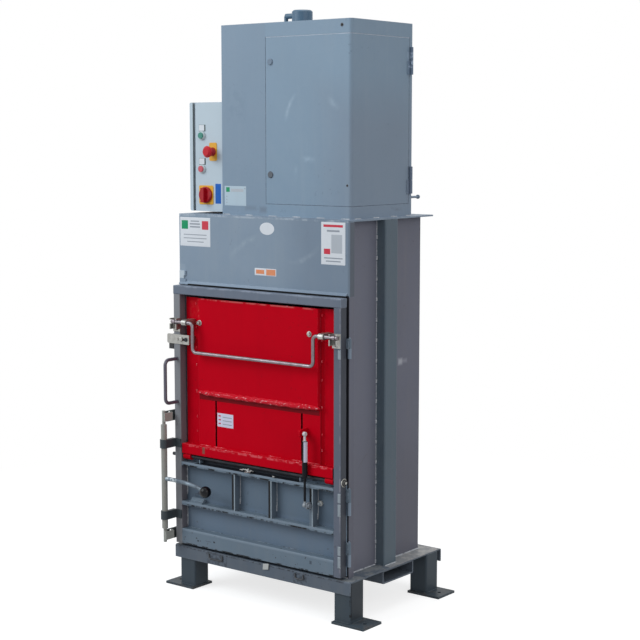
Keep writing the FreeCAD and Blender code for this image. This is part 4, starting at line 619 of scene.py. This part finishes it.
gate_paint = painted("gate_enamel", (192, 0, 25), (221, 76, 94), (158, 0, 23), chipped=(94, 27, 29),
                     edge_wear=0.55, chips=0.4, dustiness=0.2, drift=0.26, specular=0.04, zones=gate_marks)
dress(gate_paint, "gate_panel", "gate_plate", "gate_flange", "strut_bracket")
ridge_paint = painted("ridge_enamel", (196, 13, 36), (231, 116, 126), (158, 17, 32),
                      chipped=(244, 177, 183), edge_wear=0.9, chips=1.0, dustiness=0.2, specular=0.1)
# A dark red strip just under the ridge bead is a painted shadow cast by the ridge.
ridge_shadow_paint = painted("ridge_shadow_enamel", (120, 2, 18), (150, 20, 34), (90, 10, 16), chips=0.0, specular=0.1)
dot_paint = painted("bare_dot", (222, 150, 158), (240, 200, 204), (190, 110, 120), chips=0.0)
gate_beads = [(bead((104, -27, 701), (646, -27, 701), 9.5, 31.0), ridge_paint),
              (bead((130, -30, 699), (600, -30, 699), 8.0, 47.0), ridge_paint)]
gate_beads += [(sheet((112, -20.6, 676), (524, 0, 0), (0, 0, 16), 0.3), ridge_shadow_paint)]
gate_beads += [(bead((x, -36.5, 700 + x % 5), (x + 5 + x % 7, -36.5, 701 + x % 4), 1.5), dot_paint)
               for x in (126, 151, 208, 290, 331, 402, 418, 497, 560, 604, 633)]
gate_beads += [(bead((x, -38.8, 515), (x + 86, -38.8, 515), 1.7, 11.0), ridge_paint)
               for x in range(50, 640, 92)]
gate_beads += [(bead((x, -20.5, 515.5), (x + 52, -20.5, 515.5), 2.6), ridge_paint)
               for x in (112, 176, 300, 420, 520, 584)]
gate_beads += [(bead((x, -21.5, z), (x, -21.5, z + 9), 2.4), ridge_paint)
               for x in (100, 648) for z in (560, 610, 700, 790, 850, 920, 1000)]
gate_beads += [(bead((x, -27.5, 1024), (x + 16, -27.5, 1024), 2.4), ridge_paint)
               for x in (130, 240, 372, 500, 604)]
skin("gate_welds", gate_beads, "gate")

# --- Latch bar, catches, lock tube and small bright hardware --------------------------------
# Round bar and flat strip in dull zinc plate, with darker patches where it is handled. The strut,
# the press cylinder and the platen are finished here too.
def plate_group():
    """Bare or plated metal: two tones clouded together, with fine grain in the gloss and relief."""
    tree, given, result = shader_group(
        "clouded_metal",
        {"Light": ("Color", (0.6, 0.6, 0.6, 1)), "Dark": ("Color", (0.2, 0.2, 0.2, 1)),
         "Grime": ("Float", 0.5), "Gloss": ("Float", 0.4), "Scale": ("Float", 30.0)},
        {"Color": "Color", "Roughness": "Float", "Height": "Float"})
    place = wire(tree, "ShaderNodeTexCoord").outputs["Object"]
    cloud = ramp(tree, noise(tree, place, given["Scale"], 5.0, 0.6), 0.36, 0.68)
    grain = noise(tree, place, 640.0, 2.0)
    tone = blend_colour(tree, maths(tree, "MULTIPLY", cloud, given["Grime"]), given["Light"], given["Dark"])
    tree.links.new(tone, result.inputs["Color"])
    gloss = maths(tree, "ADD", given["Gloss"], maths(tree, "MULTIPLY", cloud, 0.2))
    tree.links.new(maths(tree, "ADD", gloss, maths(tree, "MULTIPLY", grain, 0.08), clamp=True),
                   result.inputs["Roughness"])
    tree.links.new(grain, result.inputs["Height"])
    return tree


clouded_metal = plate_group()


def metal(name, light, dark, gloss=0.4, metallic=0.85, scale=30.0, grime=0.5, zones=()):
    """Bare or plated metal, clouded between a light and a dark tone."""
    return finished(name, clouded_metal, {"Light": light, "Dark": dark},
                    {"Grime": grime, "Gloss": gloss, "Scale": scale}, 0.00004, zones, Metallic=metallic)


silver, dull_silver = (206, 208, 210), (158, 164, 170)
zinc = metal("zinc_plate", (174, 174, 170), (118, 114, 110), gloss=0.3, grime=0.6, scale=60.0)
dress(zinc, "bar_bearings", "bar_catches", "interlock_tag")
dress(metal("bar_steel", (135, 127, 132), (89, 80, 85), gloss=0.26), "latch_bar")
# The pale patch near the lever's inner end is a painted highlight on worn steel.
lever_steel = metal("lever_steel", (120, 134, 146), (62, 72, 82), gloss=0.42, metallic=0.35, grime=0.7,
                    zones=[((8, -100, 380), (60, -60, 420), (196, 204, 208), 0.8, 4.0, 42)])


def bent_bar(points, radius_start, radius_end):
    """A bent round bar: P(u, t) = B(u) + r(u) (cos t N(u) + sin t M), B(u) being the quadratic Bezier
    blend of three points, M the depth direction, N square to M and the bar, and r(u) running from one
    radius to the other, times (1 - (2u - 1)^80)^0.5, which closes the ends."""
    a, b, c = (spot(*point) for point in points)
    u = np.linspace(0, 1, 40)[:, None]
    path = (1 - u) ** 2 * a + 2 * u * (1 - u) * b + u ** 2 * c
    along = np.gradient(path, axis=0)
    along = along / np.linalg.norm(along, axis=1, keepdims=True)
    flat = np.array([0.0, 1.0, 0.0])
    lift = np.cross(flat, along)
    t = np.linspace(0, 2 * np.pi, 21)[None, :, None]
    r = (radius_start + (radius_end - radius_start) * u) / 1000
    r = (r * np.sqrt(np.maximum(0, 1 - (2 * u - 1) ** 80)))[:, :, None]
    return path[:, None] + r * (np.cos(t) * lift[:, None] + np.sin(t) * flat)


lever_bar = skin("lever_bar", [(bent_bar([(2, -84, 392), (140, -84, 394), (186, -84, 371)], 7.6, 6.2),
                                lever_steel)], "lock_bar")
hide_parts("lock_lever")
dress(metal("clip_steel", (74, 76, 80), (32, 32, 36), gloss=0.45, metallic=0.4), "strap_clips")
pin_steel = metal("pin_steel", (47, 49, 55), (28, 28, 32), gloss=0.5, metallic=0.5,
                  zones=[((737, -40, 450), (760, -10, 490), (96, 96, 94), 0.9, 0.4, 0)])
dress(pin_steel, "gate_pivot")
washer_black = metal("washer_black", (32, 32, 36), (17, 17, 20), gloss=0.45, metallic=0.4)
pin_y, pin_z = -25, 470
pin_heads = ((738.3, 14, 2.7, zinc), (740.8, 12, 1.2, washer_black), (747, 8.2, 0.5, washer_black),
             (747.4, 4.6, 0.8, zinc))
skin("pin_washer", [(dome(x, pin_y, pin_z, radius, height, sideways=True), tone)
                    for x, radius, height, tone in pin_heads], "gate")
# The lock arms' enamel is dark, as painted shade on arms that sit in shadow.
arm_paint = painted("arm_enamel", (70, 77, 78), (126, 131, 126), (97, 99, 95), chips=0.6, dustiness=0.4)
dress(arm_paint, "lock_arms")
tube_paint = painted("tube_enamel", (147, 148, 143), (222, 222, 215), (162, 152, 138), edge_wear=0.8,
                     chips=0.9, dustiness=0.6, zones=[
    ((-12, -100, 596), (12, -40, 640), (166, 168, 162), 0.8, 2.0, 0),
    ((-12, -100, 160), (12, -40, 206), (166, 168, 162), 0.8, 2.0, 0)])
dress(tube_paint, "lock_tube")
dress(painted("upper_lock", (112, 128, 146), (170, 180, 190), (130, 138, 146), zones=[
    ((368.5, 47, 1836.5), (377.5, 53, 1845.5), (16, 16, 18), 1.0, 0.8, 0)]), "cabinet_lock_upper")
dress(painted("lower_lock", (60, 68, 78), (170, 180, 190), (110, 118, 126), specular=0.6, zones=[
    ((366, 47, 1465), (377, 53, 1477), silver, 1.0, 1.0, 0)]), "cabinet_lock_lower")
gate_bolts = []
for x, out in ((121, 9.0), (600, 5.0)):
    gate_bolts += [(dome(x, -28, 941, 9.5, 1.5), zinc), (dome(x, -29.4, 941, 7.0, out, hexagon=1.0), zinc)]
gate_bolts += [(dome(47, -43.2, 880, 8.6, 4.5, hexagon=0.6), zinc),
               (dome(70, -43.2, 880, 7.2, 3.0), pin_steel)]
skin("gate_bolts", gate_bolts, "gate")
chrome = metal("rod_chrome", (226, 227, 229), (158, 158, 158), gloss=0.12, metallic=1.0, grime=0.3)
dress(chrome, "piston_rod")
dress(painted("strut_black", (20, 21, 26), (64, 66, 72), (64, 64, 66), edge_wear=0.2, chips=0.1,
              dustiness=0.1, specular=0.1, zones=[
    ((590, -64, 594), (612, -40, 628), silver, 0.95, 0.5, 0),
    ((590, -64, 370), (612, -40, 394), dull_silver, 0.95, 0.5, 0)]), "strut_tube", "strut_rod")
dress(painted("cylinder_enamel", (64, 94, 117), (124, 148, 161), (108, 127, 135), edge_wear=0.5,
              chips=0.3, dustiness=0.3, specular=0.5), "cylinder_barrel")
dress(painted("platen_enamel", (64, 68, 76), (158, 158, 160), (101, 99, 95), edge_wear=1.0, chips=0.8,
              dustiness=0.4), "platen")


def sleeve(x, y, low, high, radius):
    """A label wrapped part of the way round an upright tube: P(v, t) = (x + R cos t, y + R sin t,
    z0 + v h), t from -76 to 27 degrees."""
    t = np.radians(np.linspace(-76, 27, 17))[None, :]
    z = np.linspace(low, high, 8)[:, None]
    return corner + np.stack([x + radius * np.cos(t) + 0 * z, y + radius * np.sin(t) + 0 * z, z + 0 * t],
                             axis=-1) / 1000


skin("strut_label", [(sleeve(600, -52, 525, 592, 9.25), lilac_ink)], "strut_tube")


# --- Control box and power pack --------------------------------------------------------------
# A pale powder-coated case with glossy moulded controls, and behind the cabinet's hood a tank,
# a motor, a valve block and rubber hoses.
def moulded_group():
    """Moulded plastic: even colour with a faint cloud, a fine moulding grain and rubbed gloss."""
    tree, given, result = shader_group(
        "moulded_skin",
        {"Colour": ("Color", (0.5, 0.5, 0.5, 1)), "Speck": ("Float", 0.06), "Gloss": ("Float", 0.35)},
        {"Color": "Color", "Roughness": "Float", "Height": "Float"})
    place = wire(tree, "ShaderNodeTexCoord").outputs["Object"]
    cloud = noise(tree, place, 46.0, 4.0, 0.6)
    swing = maths(tree, "MULTIPLY", maths(tree, "SUBTRACT", cloud, 0.5),
                  maths(tree, "MULTIPLY", given["Speck"], 2.0))
    tone = wire(tree, "ShaderNodeHueSaturation",
                {"Color": given["Colour"], "Value": maths(tree, "ADD", 1.0, swing)})
    tree.links.new(tone.outputs[0], result.inputs["Color"])
    tree.links.new(maths(tree, "ADD", given["Gloss"], maths(tree, "MULTIPLY", cloud, 0.15)),
                   result.inputs["Roughness"])
    tree.links.new(noise(tree, place, 900.0, 2.0), result.inputs["Height"])
    return tree


moulded_skin = moulded_group()


def moulded(name, colour, gloss=0.35, coat=0.0, specular=0.5, zones=()):
    """Moulded plastic, glossier where it has a coat."""
    return finished(name, moulded_skin, {"Colour": colour}, {"Gloss": gloss}, 0.00003, zones,
                    Coat_Weight=coat, Specular_IOR_Level=specular)


dress(painted("case_enamel", (184, 198, 208), (226, 233, 235), (175, 183, 185), edge_wear=0.2,
              chips=0.1, dustiness=0.2, drift=0.08), "control_box", "box_lid")
ring_silver = (185, 198, 202)
dress(moulded("yellow_disc", (217, 160, 30), gloss=0.45,
              zones=[((44, 40, 1560), (76, 61, 1594), ring_silver, 1.0, 0.3, 0),
                     ((44, 40, 1446), (76, 61, 1480), ring_silver, 1.0, 0.3, 0),
                     ((93, 40, 1504), (129, 56.5, 1540), (158, 14, 30), 1.0, 0.3, 0)]), "control_plates")
case_face = 60
legend_dark = moulded("legend_dark", (47, 64, 68), gloss=0.4)
for name, z in (("start_legend", 1577), ("stop_legend", 1463)):
    sticker(name, "frame", case_face, 45, 76, z + 14, z + 37, legend_dark,
            [(46, 70, z + 16, z + 36, white_ink)])
# The dark strip beside the lid's edge is painted shade in the groove between lid and case.
rubber = moulded("lid_gap_shade_dark", (43, 55, 59), gloss=0.6)
sticker("lid_gap_shade_strip", "frame", case_face, 16.8, 22, 1322, 1688, rubber)
sticker("blue_sign", "frame", case_face, 119, 145, 1345, 1413, blue_ink)
dress(moulded("green_cap", (22, 118, 103), coat=0.3), "start_button")
dress(moulded("dull_red_cap", (185, 66, 82), coat=0.3), "stop_button")
dress(moulded("red_cap", (186, 16, 34), coat=0.1, specular=0.25), "emergency_stop")
dress(moulded("deep_red_cap", (160, 6, 24), gloss=0.2, coat=0.25, specular=0.25), "isolator_knob")
dress(moulded("black_grip", (6, 10, 16), gloss=0.2, coat=0.2, specular=0.12), "lock_knob")
dress(moulded("black_housing", (26, 27, 30), gloss=0.5), "interlock_switch")
dress(painted("tank_enamel", (101, 110, 122), (158, 162, 168), (126, 126, 124)), "oil_tank")
dress(painted("motor_enamel", (61, 70, 82), (126, 131, 137), (101, 101, 99)), "pump_motor")
dress(metal("valve_alloy", (200, 200, 198), (126, 126, 124), gloss=0.42), "valve_block")
dress(moulded("hose_rubber", (24, 24, 26), gloss=0.6), "oil_hoses")


# --- Studio ----------------------------------------------------------------------------------
# A white floor that keeps a soft shadow, a white sky, broad plain lamps, and a long lens 38 degrees
# to the right of the front, looking 7 degrees down.
bpy.context.scene.view_settings.view_transform = "Standard"
span = 60.0
floor_mesh = bpy.data.meshes.new("floor")
floor_mesh.from_pydata([(-span, -span, 0), (span, -span, 0), (span, span, 0), (-span, span, 0)], [],
                       [(0, 1, 2, 3)])
floor = bpy.data.objects.new("floor", floor_mesh)
bpy.context.collection.objects.link(floor)


def looked_at(tree):
    """1 for rays that show the background: straight, mirrored or through glass."""
    path = wire(tree, "ShaderNodeLightPath").outputs
    mirrored = maths(tree, "MAXIMUM", path["Is Glossy Ray"], path["Is Transmission Ray"])
    return maths(tree, "MAXIMUM", path["Is Camera Ray"], mirrored)


pale = bpy.data.materials.new("pale_floor")
pale.use_nodes = True
floor_tree = pale.node_tree
shown = floor_tree.nodes["Principled BSDF"]
shown.inputs["Base Color"].default_value = (0.42, 0.42, 0.42, 1)
shown.inputs["Roughness"].default_value = 0.95
shown.inputs["Specular IOR Level"].default_value = 0.0
shown.inputs["Emission Color"].default_value = (1, 1, 1, 1)
shown.inputs["Emission Strength"].default_value = 0.74
far_white = wire(floor_tree, "ShaderNodeEmission", {"Color": (1, 1, 1, 1), "Strength": 1.0})
bounce = wire(floor_tree, "ShaderNodeBsdfDiffuse", {"Color": (0.3, 0.3, 0.3, 1)})
reach = wire(floor_tree, "ShaderNodeVectorMath",
             {0: wire(floor_tree, "ShaderNodeTexCoord").outputs["Object"]}, operation="LENGTH")
shadow_reach, white_from = 1.2, 2.4
fade = ramp(floor_tree, reach.outputs["Value"], shadow_reach, white_from)
faded = wire(floor_tree, "ShaderNodeMixShader", {0: fade, 1: shown.outputs[0], 2: far_white.outputs[0]})
floor_mix = wire(floor_tree, "ShaderNodeMixShader", {0: looked_at(floor_tree), 1: bounce.outputs[0],
                                                     2: faded.outputs[0]})
floor_tree.links.new(floor_mix.outputs[0], floor_tree.nodes["Material Output"].inputs["Surface"])
floor_mesh.materials.append(pale)

world = bpy.data.worlds.new("white_sky")
bpy.context.scene.world = world
world.use_nodes = True
sky_tree = world.node_tree
sky = sky_tree.nodes["Background"]
sky.inputs["Color"].default_value = (0.95, 0.97, 1.0, 1)
sky.inputs["Strength"].default_value = 0.6
white_sky = wire(sky_tree, "ShaderNodeBackground", {"Color": (1, 1, 1, 1), "Strength": 1.0})
sky_mix = wire(sky_tree, "ShaderNodeMixShader",
               {0: looked_at(sky_tree), 1: sky.outputs[0], 2: white_sky.outputs[0]})
sky_tree.links.new(sky_mix.outputs[0], sky_tree.nodes["World Output"].inputs["Surface"])

for name, place, aim, size, power, tint in (
        ("key", (-2.5, -3.5, 3.5), (0, 0, 1.1), 3.0, 138.0, (0.93, 1.0, 1.04)),
        ("fill", (4.8, -1.5, 2.9), (0, 0, 1.1), 3.4, 52.0, (1.0, 0.95, 0.93)),
        ("top", (0.4, 0.4, 5.2), (0, 0, 0.8), 3.0, 56.0, (1.0, 1.0, 1.0))):
    lamp = bpy.data.lights.new(name, "AREA")
    lamp.size, lamp.energy, lamp.color = size, power, tint
    holder = bpy.data.objects.new(name, lamp)
    holder.location = place
    look = np.array(aim) - np.array(place)
    holder.rotation_euler = (math.atan2(math.hypot(look[0], look[1]), -look[2]), 0,
                             math.atan2(look[1], look[0]) - math.pi / 2)
    bpy.context.collection.objects.link(holder)

azimuth, pitch = math.radians(38.1), math.radians(6.9)
focal_pixels, picture_pixels, sensor = 1515.6, 640, 36.0
lens = bpy.data.cameras.new("camera")
lens.sensor_width = sensor
lens.lens = sensor * focal_pixels / picture_pixels
lens.clip_end = 200
viewer = bpy.data.objects.new("camera", lens)
viewer.location = (3.2239, -4.0454, 1.5735)
viewer.rotation_euler = (math.pi / 2 - pitch, 0, azimuth)
bpy.context.collection.objects.link(viewer)
bpy.context.scene.camera = viewer
